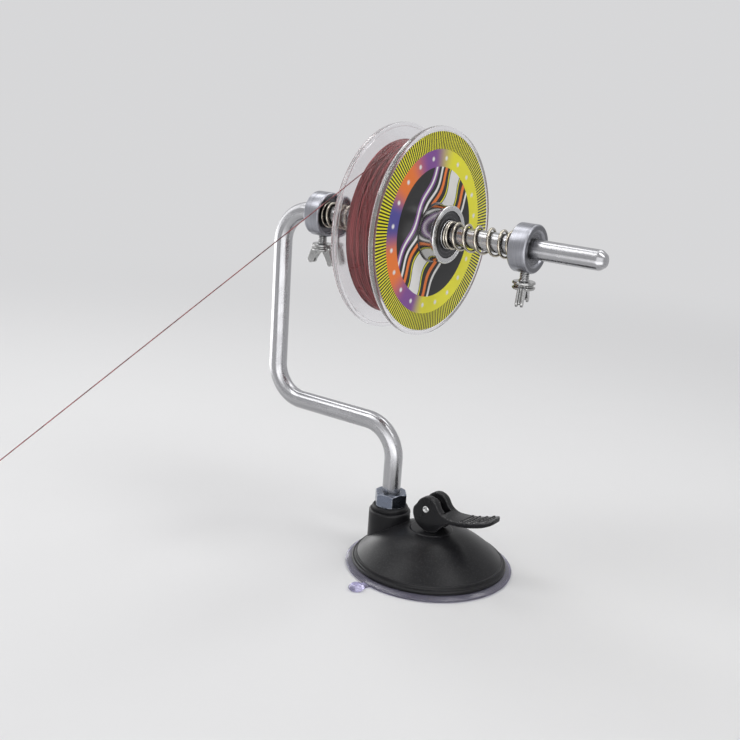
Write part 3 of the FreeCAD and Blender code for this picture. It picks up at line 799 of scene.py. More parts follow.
def printed_label(name, ink):
    """Gloss paper label: ticked border, shaded ring with dots, waves on a dark middle."""
    finish = Finish(name, rough=0.3)
    tree = finish.tree
    place = finish.effect("Polar")
    turn, radius = place["Turn"], place["Radius"]
    angle = calc(tree, "SUBTRACT", calc(tree, "MULTIPLY", turn, FULL_TURN), ink.turn)
    across = calc(tree, "MULTIPLY", radius, calc(tree, "SINE", angle))
    along = calc(tree, "MULTIPLY", radius, calc(tree, "COSINE", angle))

    ticks = calc(tree, "FRACT", calc(tree, "MULTIPLY", turn, float(ink.ticks)))
    tick = calc(tree, "ABSOLUTE", calc(tree, "SUBTRACT", ticks, 0.5))
    border = finish.tone(ramp(tree, tick, 0.22, 0.27), ink.yellow, ink.ground)

    shading = calc(tree, "FRACT", calc(tree, "ADD", turn, RING_TURN))
    ring = ink.yellow
    for start, end, shade_name in RING_SHADES:
        ring = finish.tone(ramp(tree, shading, start, end), ring, getattr(ink, shade_name))
    beads = calc(tree, "FRACT", calc(tree, "MULTIPLY", turn, float(RING_BEADS)))
    off_bead = calc(tree, "MULTIPLY", calc(tree, "SUBTRACT", beads, 0.5), radius)
    bead_x = calc(tree, "MULTIPLY", off_bead, FULL_TURN / RING_BEADS)
    bead_y = calc(tree, "SUBTRACT", radius, RING_MIDDLE)
    squares = [calc(tree, "MULTIPLY", side, side) for side in (bead_x, bead_y)]
    bead = calc(tree, "SQRT", calc(tree, "ADD", *squares))
    ring = finish.tone(ramp(tree, bead, 0.0004, 0.0013), ink.white, ring)

    middle = ink.ground
    for height, swing, half, shade_name in MIDDLE_WAVES:
        mask = wave_mask(finish, across, along, height, swing, WAVE_LENGTH, half)
        middle = finish.tone(mask, middle, getattr(ink, shade_name))
    art = finish.tone(ramp(tree, radius, RING_IN - 0.0001, RING_IN + 0.0001), middle, ring)
    art = finish.tone(ramp(tree, radius, RING_OUT - 0.0001, RING_OUT + 0.0001), art, border)
    front = SPOOL.x + LABEL_FACE
    art = finish.tone(ramp(tree, place["Along"], front - 0.00009, front - 0.00006), ink.white, art)
    patches = finish.effect("Smudges", Scale=50.0)["Mask"]
    paper = finish.effect("Grain", Scale=1800.0, Softness=0.4)
    art = finish.tone(calc(tree, "MULTIPLY", paper["Tone"], 0.008), art, ink.white)
    finish.set(Base_Color=art, Specular_IOR_Level=0.3, Coat_Weight=0.08, Coat_Roughness=0.15)
    finish.rough(patches, 0.3, 0.42)
    finish.bump(paper["Height"], 0.00002, 0.25)


def grained(scale):
    return "Grain", {"Scale": scale}


def ringed(marks):
    return "Turned Rings", {"Marks": marks}


def drawn(around, along):
    return "Drawn Lines", {"Round": around, "Along": along}


# Colour, roughness and marks of the metals inside the bearings and the base.
INNER_METALS = {
    "stem_steel": ((0.5, 0.5, 0.5), 0.25, grained(2500.0)),
    "insert_brass": ((0.66, 0.48, 0.2), 0.25, grained(2500.0)),
    "cup_metal": ((0.66, 0.66, 0.66), 0.12, ringed(4200.0)),
    "race_steel": ((0.58, 0.58, 0.59), 0.18, ringed(4200.0)),
    "shield_steel": ((0.07, 0.07, 0.075), 0.32, ringed(9000.0)),
    "ball_steel": ((0.7, 0.7, 0.7), 0.06, grained(3000.0)),
    "cage_steel": ((0.42, 0.42, 0.40), 0.3, grained(2500.0)),
}


def make_finishes():
    scene = bpy.context.scene
    arm, base, fit = scene.winder_arm, scene.winder_base, scene.winder_fittings
    spool, ink = scene.winder_spool, scene.winder_label
    moulded("housing_black", base.black, 0.30, 0.03)
    # The lever's edges are painted much lighter: painted highlights along its rims.
    moulded("lever_black", base.black, 0.26, 0.30, edge=0.0007)
    moulded("washer_black", base.black, 0.42, 0.03)
    soft_pad("pad_clear", base.clear)
    rod = plated("rod_steel", arm.steel, 0.20, drawn(1100.0, 16.0))
    rod.stretch_gloss("Run", 0.85)
    plated("nut_zinc", fit.nut_zinc, 0.2, grained(1500.0), edge=0.0006)
    # The collar's ends along the spindle get painted shade.
    plated("collar_plated", fit.plated, 0.28, ringed(4200.0), edge=0.0006, marked=0.62, painted_end_shade=0.42)
    cast_metal("screw_cast", fit.cast)
    plated("spring_wire", fit.wire, 0.14, drawn(2500.0, 60.0))
    for name, (tint, rough, marks) in INNER_METALS.items():
        plated(name, (*tint, 1), rough, marks)
    clear_plastic("spool_clear", spool.clear)
    printed_label("label_print", ink)
    nylon_line("line_nylon", spool.nylon)


# ---------------------------------------------------------------- stage


CAMERA_AT = Vector((0.23841, -0.38676, 0.21160))
CAMERA_TURN, CAMERA_DROP, CAMERA_ROLL = -0.62042, 0.26998, 0.06658
LENS, SENSOR = 55.06, 36.0
FLOOR_R = 6.0
LAMPS = (
    ("left_overhead", (-0.36, -0.34, 0.72), (0.22, 0.50), 1.5),
    ("right_overhead", (0.44, 0.02, 0.76), (0.22, 0.50), 1.5),
    ("rear_left_overhead", (-0.42, 0.14, 0.80), (0.22, 0.50), 1.2),
    ("rear_right_overhead", (0.04, 0.40, 0.82), (0.22, 0.50), 1.2),
    ("front_panel", (0.52, -0.66, 0.34), (1.00, 0.62), 2.0),
    ("left_panel", (-0.86, -0.02, 0.38), (0.50, 0.70), 1.5),
)
# Low strips that only the object's gloss and metal mirror; they light nothing else.
MIRROR_STRIPS = (
    ("low_front_strip", (0.089, -0.189, 0.062), (0.40, 0.12), 0.26),
    ("low_left_strip", (-0.290, 0.02, 0.062), (0.34, 0.12), 0.30),
)
LAMP_AIM = Vector((-0.01, 0, 0.09))
STRIP_AIM = Vector((-0.079, 0, 0.09))


def aim(obj, place, target):
    obj.location = place
    obj.rotation_euler = (target - Vector(place)).to_track_quat("-Z", "Y").to_euler()


def add_lamps(lamps, target, lights):
    """Area lamps that face a target; without lights, only gloss and metal show them."""
    for name, place, shape, power in lamps:
        lamp = bpy.data.objects.new(name, bpy.data.lights.new(name, "AREA"))
        lamp.data.shape = "RECTANGLE"
        lamp.data.size, lamp.data.size_y = shape
        lamp.data.energy = power
        lamp.visible_camera = False
        lamp.visible_diffuse = lamp.visible_transmission = lights
        bpy.context.scene.collection.objects.link(lamp)
        aim(lamp, place, target)


def add_camera():
    camera = bpy.data.objects.new("camera", bpy.data.cameras.new("camera"))
    bpy.context.scene.collection.objects.link(camera)
    ahead = Vector((math.sin(CAMERA_TURN) * math.cos(CAMERA_DROP),
                    math.cos(CAMERA_TURN) * math.cos(CAMERA_DROP), -math.sin(CAMERA_DROP)))
    level = Vector((math.cos(CAMERA_TURN), -math.sin(CAMERA_TURN), 0))
    above = level.cross(ahead)
    right = level * math.cos(CAMERA_ROLL) + above * math.sin(CAMERA_ROLL)
    up = above * math.cos(CAMERA_ROLL) - level * math.sin(CAMERA_ROLL)
    facing = Matrix((right, up, -ahead)).transposed().to_4x4()
    camera.matrix_world = Matrix.Translation(CAMERA_AT) @ facing
    camera.data.lens = LENS
    camera.data.sensor_width = SENSOR
    camera.data.clip_start = 0.01
    camera.data.clip_end = 50
    bpy.context.scene.camera = camera


def seen_ray(tree):
    """1 for rays that show the surroundings, 0 for those that only light the object."""
    path = node(tree, "LightPath").outputs
    seen = calc(tree, "MAXIMUM", path["Is Camera Ray"], path["Is Glossy Ray"])
    return calc(tree, "MAXIMUM", seen, path["Is Transmission Ray"])


class WINDER_OT_stage(bpy.types.Operator):
    """Add the floor, the lamps, the room light and the camera"""
    bl_idname = "winder.stage"
    bl_label = "Stage"

    def execute(self, context):
        colours = context.scene.winder_stage
        floor = turned("floor", [(0, 0), (0, 1), (0, FLOOR_R)], ORIGIN, Z, 64, closed=False)
        ground = Finish("floor_pale", rough=0.75)
        texture = ground.effect("Grain", Scale=300.0, Softness=0.5)
        ground.set(Base_Color=ground.tone(texture["Tone"], darker(colours.floor, 0.99), colours.floor),
                   Specular_IOR_Level=0.0)
        # Far from the object the floor turns into the backdrop.
        tree = ground.tree
        away = node(tree, "VectorMath", operation="LENGTH")
        feed(tree, away.inputs[0], part_coords(tree))
        span = ramp(tree, away.outputs["Value"], colours.fade_near, colours.fade_far)
        backdrop = node(tree, "Emission")
        feed(tree, backdrop.inputs["Color"], colours.backdrop)
        share = node(tree, "MixShader")
        feed(tree, share.inputs[0], calc(tree, "MULTIPLY", span, seen_ray(tree)))
        tree.links.new(ground.shader.outputs[0], share.inputs[1])
        tree.links.new(backdrop.outputs[0], share.inputs[2])
        tree.links.new(share.outputs[0], tree.nodes["Material Output"].inputs["Surface"])
        floor.data.materials.append(ground.material)
        add_lamps(LAMPS, LAMP_AIM, True)
        add_lamps(MIRROR_STRIPS, STRIP_AIM, False)
        room = bpy.data.worlds.new("room")
        context.scene.world = room
        room.use_nodes = True
        tree = room.node_tree
        shown = blend_colours(tree, seen_ray(tree), colours.room, colours.backdrop)
        feed(tree, tree.nodes["Background"].inputs["Color"], shown)
        context.scene.view_settings.view_transform = "Standard"
        add_camera()
        return {"FINISHED"}


# ---------------------------------------------------------------- arm and clamp


def bend_points(corner, incoming, outgoing, radius, steps=20):
    """Points of a square bend from one direction into another."""
    middle = corner - incoming * radius + outgoing * radius
    angles = [math.pi / 2 * i / steps for i in range(steps + 1)]
    return [middle + (incoming * math.sin(a) - outgoing * math.cos(a)) * radius for a in angles]


def add_run_map(piece, path, around, radius):
    """Map a swept bar by metres round it and along it."""
    lengths = [0.0]
    for before, after in zip(path, path[1:]):
        lengths.append(lengths[-1] + (after - before).length)
    run = piece.data.uv_layers.new(name="Run")
    for face in piece.data.polygons:
        ends = [piece.data.loops[i].vertex_index for i in face.loop_indices]
        wraps = any(v % around == 0 for v in ends) and any(v % around == around - 1 for v in ends)
        for loop, vertex in zip(face.loop_indices, ends):
            k = vertex % around
            place = around if wraps and k == 0 and len(ends) == 4 else k
            run.data[loop].uv = (place / around * FULL_TURN * radius, lengths[vertex // around])


# Points of the rounded tip: shares of the taper back from its end, and of the rod's radius.
TIP_POINTS = ((1.25, 1.0), (1.05, 0.99), (0.9, 0.955), (0.35, 0.72), (0.17, 0.62), (0.06, 0.48),
              (0.015, 0.28), (0.0, 0.04))
FOOT_CHAMFER = 0.0008


class WINDER_OT_arm(bpy.types.Operator):
    """Sweep the bent rod with its tapered tip"""
    bl_idname = "winder.arm"
    bl_label = "Arm"

    def execute(self, context):
        sizes = context.scene.winder_arm
        foot = Vector((POST_X, 0, rod_low.z))
        path = [foot, foot + Z * FOOT_CHAMFER]
        for corner_x, corner_z, incoming, outgoing in (
                (POST_X, sizes.middle_z, Z, -X), (UPRIGHT_X, sizes.middle_z, -X, Z),
                (UPRIGHT_X, SPINDLE_Z, Z, X)):
            path += bend_points(Vector((corner_x, 0, corner_z)), incoming, outgoing, sizes.bend)
        radii = [ROD_R - FOOT_CHAMFER] + [ROD_R] * (len(path) - 1)
        tip = Vector((rod_high.x, 0, SPINDLE_Z))
        for back, share in TIP_POINTS:
            path.append(tip - X * sizes.taper * back)
            radii.append(ROD_R * share)
        around = 72
        rod = swept("bent_rod", path, radii, around, sharp=50)
        add_run_map(rod, path, around, ROD_R)
        dress(rod, "arm", "rod_steel", "arm_rod")
        return {"FINISHED"}


class WINDER_OT_clamp(bpy.types.Operator):
    """Turn the washer under the lock nut"""
    bl_idname = "winder.clamp"
    bl_label = "Post clamp"

    def execute(self, context):
        bore, rim = ROD_R + 0.0002, washer_high.y
        bevel_in, bevel_down = 0.0006, 0.0008
        ring = eased([
            (washer_low.z, bore), (washer_high.z, bore), (washer_high.z, rim - bevel_in),
            (washer_high.z - bevel_down, rim), (washer_low.z, rim)], 0.00025)
        washer = turned("post_ring", ring, Vector((POST_X, 0, 0)), Z, 96)
        dress(washer, "base", "washer_black", "post_washer")
        return {"FINISHED"}


# ---------------------------------------------------------------- base


def dome_height(sizes, r):
    """Height of the dome's top at a distance from its middle."""
    step_top = sizes.pad_top + sizes.lip + sizes.step
    share = (r - sizes.platform_r) / (sizes.dome_r - sizes.platform_r)
    return sizes.dome_top - (sizes.dome_top - step_top) * share ** 1.6


class WINDER_OT_housing(bpy.types.Operator):
    """Mould the domed housing with its boss"""
    bl_idname = "winder.housing"
    bl_label = "Housing"

    def execute(self, context):
        sizes = context.scene.winder_base
        platform_z = sizes.dome_top + sizes.platform_h
        lip_top = sizes.pad_top + sizes.lip
        step_top = lip_top + sizes.step
        rings = 22
        reach = sizes.dome_r - sizes.platform_r
        radii = [sizes.platform_r + reach * i / rings for i in range(rings + 1)]
        stem_hole, lip_edge, boss_edge = 0.00305, 0.0005, 0.0005
        inside_r = sizes.step_r - 2 * sizes.wall
        outer = eased([(platform_z, stem_hole), (platform_z, sizes.platform_r - sizes.platform_h),
                       (sizes.dome_top, sizes.platform_r)], EASE, closed=False)
        outer += [Vector((dome_height(sizes, r), r)) for r in radii[1:]]
        # From the dome's foot over the crease between step and lip to the rim's lower edge.
        rim = [(step_top, radii[-1]), (step_top, sizes.step_r),
               (lip_top + 0.0001, sizes.step_r + 0.0002), (lip_top - 0.0002, sizes.step_r + 0.0006),
               (lip_top, HOUSING_R - lip_edge), (lip_top - lip_edge, HOUSING_R),
               (sizes.pad_top, HOUSING_R), (sizes.pad_top, inside_r)]
        outer += eased(rim, EASE, closed=False)[1:]
        under = [Vector((dome_height(sizes, r) - sizes.wall, r)) for r in reversed(radii)
                 if r < inside_r - 0.0005]
        under.append(Vector((sizes.dome_top - sizes.wall, stem_hole)))
        housing = turned("moulded_housing", outer + under, ORIGIN, Z, 192)
        at_post = Vector((POST_X, 0, 0))
        boss = turned("boss", eased([
            (step_top, 0), (BOSS_TOP_Z, 0), (BOSS_TOP_Z, sizes.boss_r - boss_edge),
            (BOSS_TOP_Z - 0.0006, sizes.boss_r), (step_top, sizes.boss_r)], EASE, closed=False),
            at_post, Z, 128)
        combine(housing, boss, "UNION")
        bore_floor, bore_end = step_top + 0.0022, BOSS_TOP_Z + 0.001
        bore = turned("bore", [(bore_floor, 0), (bore_floor, sizes.boss_bore),
                               (bore_end, sizes.boss_bore), (bore_end, 0)], at_post, Z, 96)
        combine(housing, bore, "DIFFERENCE")
        shade(housing, 28)
        dress(housing, "base", "housing_black", "base_housing")
        return {"FINISHED"}


class WINDER_OT_pad(bpy.types.Operator):
    """Mould the soft pad, its hidden middle and its pull tab"""
    bl_idname = "winder.pad"
    bl_label = "Suction pad"

    def execute(self, context):
        sizes = context.scene.winder_base
        split_r, top = 0.024, sizes.pad_top
        rim = eased([
            (0.0, split_r), (0.0, PAD_R - 0.0006), (0.0006, PAD_R), (0.0012, PAD_R),
            (top, HOUSING_R - 0.0002), (top, split_r)], 0.0005)
        pad = turned("soft_pad", rim, ORIGIN, Z, 192)
        neck, knob_r, low = 0.0019, sizes.knob_r, 0.0001
        reach = PAD_R + sizes.tab - knob_r
        edge = [(PAD_R - 0.003, 1.5 * neck), (PAD_R + 0.0004, neck), (reach, 0.85 * neck)]
        tab = plate("pull_tab", edge + [(x, -y) for x, y in reversed(edge)], low, 0.0011)
        soften(tab, EASE, 3)
        knob = turned("knob", eased([
            (low, 0), (low, knob_r - 0.0004), (0.0006, knob_r), (0.0013, knob_r),
            (sizes.knob_h, knob_r - 0.0012), (sizes.knob_h, 0)], 0.0008, closed=False),
            X * reach, Z, 64, closed=False)
        combine(tab, knob, "UNION")
        tab.data.transform(Matrix.Rotation(sizes.tab_turn, 4, "Z"))
        combine(pad, tab, "UNION")
        shade(pad, 30)
        dress(pad, "base", "pad_clear", "suction_pad")
        under_z, crown_z, crown_r = 0.0038, 0.0076, 0.0104
        middle = turned("pad_middle", eased([
            (under_z, 0), (under_z, crown_r), (low, split_r), (top, split_r),
            (0.0050, 0.0128), (crown_z, crown_r), (crown_z, 0)], 0.0006, closed=False),
            ORIGIN, Z, 96, closed=False)
        dress(middle, "base", "pad_clear")
        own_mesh(middle)
        return {"FINISHED"}


# ---------------------------------------------------------------- lever


CAM_GAP = 0.00003


def cam_points(sizes, steps=18):
    """Side of the cam below and behind the pin: an involute, as its lift is even."""
    swing, overrun = math.radians(95), math.radians(12)
    rate = sizes.lift / swing
    reach = PIN_Z - platform_height() - CAM_GAP
    points = []
    for i in range(steps + 1):
        turn = (swing + overrun) * i / steps
        psi = -math.pi / 2 - turn
        distance = reach - rate * turn
        points.append((distance * math.cos(psi) - rate * math.sin(psi),
                       PIN_Z + distance * math.sin(psi) + rate * math.cos(psi)))
    return points


def platform_height():
    base = bpy.context.scene.winder_base
    return base.dome_top + base.platform_h


def thumb_top(sizes, x):
    """Height of the thumb plate's dished top."""
    share = (x - sizes.low_x) / (sizes.length - sizes.low_x)
    return PIN_Z - sizes.low + sizes.rise * share ** 2


def bowed(start, pull, end, shares):
    """Points of a curve that a third point pulls out."""
    return [tuple(start * (1 - t) ** 2 + pull * 2 * t * (1 - t) + end * t ** 2) for t in shares]


def lever_outline(sizes):
    crown = arc(sizes.crown_x, PIN_Z, sizes.crown_r, 160, 28, 16)
    low = Vector((sizes.low_x, thumb_top(sizes, sizes.low_x)))
    start = Vector(crown[-1])
    pull = (start + low) / 2 - Vector((sizes.thickness, sizes.thickness)) * 0.62
    neck = bowed(start, pull, low, [i / 10 for i in range(1, 10)])
    xs = [sizes.low_x + (sizes.length - sizes.low_x) * i / 14 for i in range(15)]
    top = [(x, thumb_top(sizes, x)) for x in xs]
    under = [(x, z - sizes.thickness) for x, z in reversed(top)]
    toe, back = Vector((0.0054, PIN_Z - 0.009)), Vector(under[-1])
    pull = (toe + back) / 2 + Vector((0.0004, 0.0007))
    heel = bowed(back, pull, toe, [i / 6 for i in range(1, 7)])
    return cam_points(sizes) + crown + neck + top + under + heel


RIB_START, RIB_REACH, RIB_R, RIB_SINK = 0.0174, 0.0047, 0.0006, 0.00045
RIB_TURN = math.radians(86)
# Shares of a rib's reach, and the share of its sink into the plate there.
RIB_POINTS = ((-1, 1), (-0.93, 0.35), (-0.8, 0), (0, 0), (0.8, 0), (0.93, 0.35), (1, 1))


def grip_rib(sizes, x):
    """One slanted rib that follows the dish of the thumb plate."""
    ends = []
    for share, sink in RIB_POINTS:
        dx, dy = (part * RIB_REACH * share for part in (math.cos(RIB_TURN), math.sin(RIB_TURN)))
        z = thumb_top(sizes, x + dx) + 0.0001 - RIB_SINK * sink
        ends.append(Vector((x + dx, dy, z)))
    return swept("rib", ends, RIB_R, 12)


class WINDER_OT_lever(bpy.types.Operator):
    """Mould the cam lever with its ribs, and set its pin"""
    bl_idname = "winder.lever"
    bl_label = "Lever"

    def execute(self, context):
        sizes = context.scene.winder_lever
        half = sizes.half_width
        lever = slab("moulded_lever", lever_outline(sizes), -half, half)
        # Seen from above, the thumb plate has a rounded end. The cutters reach past the lever.
        corner, past = 0.0038, 0.02
        middle = sizes.length - corner
        plan = [(-past, -half - 0.001), (middle, -half - 0.001)]
        plan += arc(middle, corner - half, corner, -90, 0, 8)
        plan += arc(middle, half - corner, corner, 0, 90, 8)
        plan += [(middle, half + 0.001), (-past, half + 0.001)]
        combine(lever, plate("plan", plan, PIN_Z - past, PIN_Z + past), "INTERSECT")
        slot_end = 0.008
        slot = slab("slot", [(-past, PIN_Z - past), (slot_end, PIN_Z - past), (slot_end, PIN_Z + past),
                             (-past, PIN_Z + past)], -sizes.slot, sizes.slot)
        combine(lever, slot, "DIFFERENCE")
        bore_r, at_pin = 0.0013, Vector((0, 0, PIN_Z))
        bore = turned("bore", [(-0.01, 0), (-0.01, bore_r), (0.01, bore_r), (0.01, 0)], at_pin, Y, 40)
        combine(lever, bore, "DIFFERENCE")
        soften(lever, 0.00042, 3, sharp=50, angle=38)
        ribs = [grip_rib(sizes, RIB_START + i * sizes.rib_pitch) for i in range(sizes.ribs)]
        join([lever] + ribs)
        shade(lever, 50)
        dress(lever, "lever", "lever_black", "cam_lever")
        # The rivet's heads are dished and rounded.
        inset = PIN_END - 0.0003
        side = [(inset, 0), (inset, 0.0007), (PIN_END, 0.00095), (PIN_END, 0.0013),
                (inset, 0.00155), (half, 0.0015)]
        profile = [(-along, radius) for along, radius in side]
        profile += [(-half, 0.00125), (half, 0.00125)] + side[::-1]
        pin = turned("lever_rivet", eased(profile, 0.0001, closed=False), at_pin, Y, 48, closed=False)
        dress(pin, "stem", "stem_steel", "lever_pin")
        return {"FINISHED"}


# ---------------------------------------------------------------- collars and screws


class WINDER_OT_collars(bpy.types.Operator):
    """Turn both stop collars, their spring recesses towards the spool"""
    bl_idname = "winder.collars"
    bl_label = "Collars"

    def execute(self, context):
        sizes = context.scene.winder_fittings
        r, half, bore = sizes.collar_r, sizes.collar_w / 2, ROD_R + SLIDE_GAP
        edge, recess_r, recess_floor = 0.0005, 0.0083, 0.002 - half
        sink, ledge = half - 0.0013, half - 0.0009
        profile = eased([
            (half, 0.0074), (half, r - edge), (half - edge, r), (edge - half, r), (-half, r - edge),
            (-half, recess_r + 0.0002), (recess_floor, recess_r), (recess_floor, bore), (sink, bore),
            (sink, 0.0052), (ledge, 0.0055), (ledge, 0.0066), (half - 0.0004, 0.0069)], 0.00018)
        for side in SIDES:
            packed = side + "_collar"
            collar = turned(side + "_stop_collar", profile, centre(packed), outward(side))
            dress(collar, packed, "collar_plated", packed)
        return {"FINISHED"}


def wing_outline(sizes, inset):
    """Side of one wing, with its outer edge set back by an inset."""
    hub, tip_r = sizes.hub_r, 0.0017
    tip_x, tip_z = sizes.span / 2, tip_r - sizes.drop
    outer = [(hub - 0.0018, -0.0005), (hub + 0.0005 - inset, 0.001 - sizes.hub_h)]
    tip = arc(tip_x - tip_r, tip_z, tip_r - inset, 0, -180, 10)
    return outer + tip + [(0.0014, -sizes.hub_h - 0.0007), (0, -sizes.hub_h)]


def screw_thread(name, radius, z_low, z_high, pitch, depth, steps=40):
    """Round bar with a helical thread."""
    rows = int((z_high - z_low) / pitch * 10)
    verts, faces = [], []
    for row in range(rows + 1):
        z = z_low + (z_high - z_low) * row / rows
        for i in range(steps):
            place = ((z - z_low) / pitch + i / steps) % 1
            r = radius - depth * abs(2 * place - 1)
            angle = FULL_TURN * i / steps
            verts.append((r * math.cos(angle), r * math.sin(angle), z))
    for row in range(rows):
        for i in range(steps):
            k, base = (i + 1) % steps, row * steps
            faces.append([base + i, base + k, base + steps + k, base + steps + i])
    faces += [list(range(steps)), list(range(rows * steps, (rows + 1) * steps))]
    return new_piece(name, verts, faces, 60)


def wing_screw(sizes, name, x, turn):
    """Cast screw with its hub, two hollow wings, neck and thread."""
    hub, height = sizes.hub_r, sizes.hub_h
    land, groove_start, groove_r = 0.0010, 0.0013, hub - 0.0009
    profile = eased([
        (0.0, 0.0), (0.0, hub - 0.0003), (-land, hub), (-groove_start, groove_r),
        (groove_start - height, groove_r), (land - height, hub), (-height, hub - 0.0004),
        (-height, 0.0)], EASE, closed=False)
    parts = [turned("hub", profile, ORIGIN, Z, 72, closed=False)]
    # Each wing is two walls with a web between them, set back from their edges.
    half = sizes.wing_t / 2
    web = half - 0.00095
    for spin in (0, math.pi):
        for low, high, inset in ((-half, -web, 0.0), (web, half, 0.0),
                                 (-web - 0.0002, web + 0.0002, 0.0008)):
            wing = slab("wing", wing_outline(sizes, inset), low, high)
            wing.data.transform(Matrix.Rotation(spin, 4, "Z"))
            parts.append(wing)
    parts.append(turned("neck", [(-0.0002, 0), (-0.0002, 0.0024), (0.0006, 0.0021), (0.0006, 0)],
                        ORIGIN, Z, 48, closed=False))
    screw = join(parts)
    screw.name = name
    cast = screw.modifiers.new("cast", "REMESH")
    cast.mode = "VOXEL"
    cast.voxel_size = 0.00016
    smooth = screw.modifiers.new("smooth", "SMOOTH")
    smooth.factor, smooth.iterations = 0.5, 5
    settle(screw, 60)
    top = sizes.neck + sizes.collar_r - ROD_R - 0.00005
    thread = screw_thread("thread", radius=0.00195, z_low=0.0003, z_high=top, pitch=0.0007, depth=0.0003)
    join([screw, thread])
    hub_z = SPINDLE_Z - sizes.collar_r - sizes.neck
    spin = Matrix.Rotation(math.radians(turn), 4, "Z")
    screw.data.transform(Matrix.Translation((x, 0, hub_z)) @ spin)
    shade(screw, 60)
    return screw


class WINDER_OT_wing_screws(bpy.types.Operator):
    """Cast the wing screws of both collars"""
    bl_idname = "winder.wing_screws"
    bl_label = "Wing screws"

    def execute(self, context):
        for side, turn in (("right", -72), ("left", -5)):
            body = side + "_wing_screw"
            screw = wing_screw(context.scene.winder_fittings, side + "_cast_screw",
                               centre(side + "_collar").x, turn)
            dress(screw, body, "screw_cast", body)
        return {"FINISHED"}


class WINDER_OT_springs(bpy.types.Operator):
    """Coil both springs, with their end turns closed up"""
    bl_idname = "winder.springs"
    bl_label = "Springs"

    def execute(self, context):
        sizes = context.scene.winder_fittings
        # How far along each turn lies, in shares of the last one, where in degrees the wire
        # starts, and the turn that stays still.
        coils = {
            "right": ((0.0, 0.7, 3.4, 8.0, 13.1, 19.0, 24.4, 28.0, 31.7, 32.8), 90, 3),
            "left": ((0.0, 0.9, 4.4, 9.4, 14.4, 19.2, 23.8, 26.5, 27.4), -60, 5),
        }
        for side, (places, turn, split) in coils.items():
            low, high = corners(side + "_spring")
            reach = high.x - low.x - 2 * sizes.wire_r
            steps, last = 30, len(places) - 1
            path = []
            for i in range(last * steps + 1):
                along = curve_between(places, i / steps) / places[-1] * reach
                angle = math.radians(turn) + FULL_TURN * i / steps
                path.append(Vector((low.x + sizes.wire_r + along, sizes.coil_r * math.cos(angle),
                                    SPINDLE_Z + sizes.coil_r * math.sin(angle))))
            # The wire is split into the turns next to the spool and the others next to the collar.
            cut = split * steps
            stretches = [(path[:cut + 2], low.x), (path[cut - 1:], high.x)]
            if side == "left":
                stretches.reverse()
            for (points, end_x), name, body in zip(
                    stretches, ("_spool_turns", "_collar_turns"), ("carriage", side + "_collar")):
                turns = swept(side + name, points, sizes.wire_r, 16, sharp=60)
                add_run_map(turns, points, 16, sizes.wire_r)
                dress(turns, None, "spring_wire", side + "_spring")
                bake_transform(turns)
        return {"FINISHED"}


# ---------------------------------------------------------------- spool and bearings


class WINDER_OT_bearings(bpy.types.Operator):
    """Turn the bearing cups, races and shields of both sides"""
    bl_idname = "winder.bearings"
    bl_label = "Bearings"

    def execute(self, context):
        spool = context.scene.winder_spool
        race_low, race_high = corners("right_outer_race")
        low, high = race_low.x - SPOOL.x, race_high.x - SPOOL.x
        race_r = race_high.y
        bore = ROD_R + SLIDE_GAP
        # The cup has a neck inside the flange and a grooved collar that shows outside it.
        seat, neck_end = spool.width / 2 - 0.00065, spool.width / 2 - 0.00465
        neck_in, neck_out, groove_r = 0.00696, 0.00896, CUP_R - 0.00025
        cup = eased([
            (neck_end, neck_in), (low, neck_in), (low, race_r), (high, race_r),
            (high, CUP_R - 0.00015), (high - 0.0003, CUP_R), (high - 0.0013, CUP_R),
            (high - 0.0016, groove_r), (seat + 0.0008, groove_r), (seat, CUP_R),
            (seat, neck_out), (neck_end, neck_out)], 0.0001)
        # The outer race is grooved at both ends for the shields.
        ring_in, groove_in, groove_w = 0.0096, 0.0091, 0.00075
        outer = eased([
            (low, ring_in), (low, race_r), (high, race_r), (high, ring_in),
            (high - groove_w, ring_in), (high - groove_w, groove_in), (low + groove_w, groove_in),
            (low + groove_w, ring_in)], 0.0002)
        inner_r = 0.0059
        inner = eased([(low, bore), (high, bore), (high, inner_r), (low, inner_r)], EASE)
        face = high - 0.00035
        pressed, back = face - 0.00015, face - 0.0004
        shield = eased([
            (back, 0.0061), (face - 0.0001, 0.0061), (face, 0.0064), (face, 0.0072),
            (pressed, 0.0074), (pressed, 0.0086), (face, 0.0088), (face, 0.0094),
            (face - 0.00025, ring_in), (back, ring_in)], 0.00008)
        for side in SIDES:
            out = outward(side)
            for name, profile, body, finish, packed in (
                    ("cup", cup, "spool", "cup_metal", "bearing_cup"),
                    ("outer_ring", outer, "spool", "race_steel", "outer_race"),
                    ("inner_ring", inner, "carriage", "race_steel", "inner_race"),
                    ("shield", shield, "spool", "shield_steel", "bearing_shields")):
                piece = turned(side + "_" + name, profile, SPOOL, out)
                dress(piece, body, finish, side + "_" + packed)
        return {"FINISHED"}


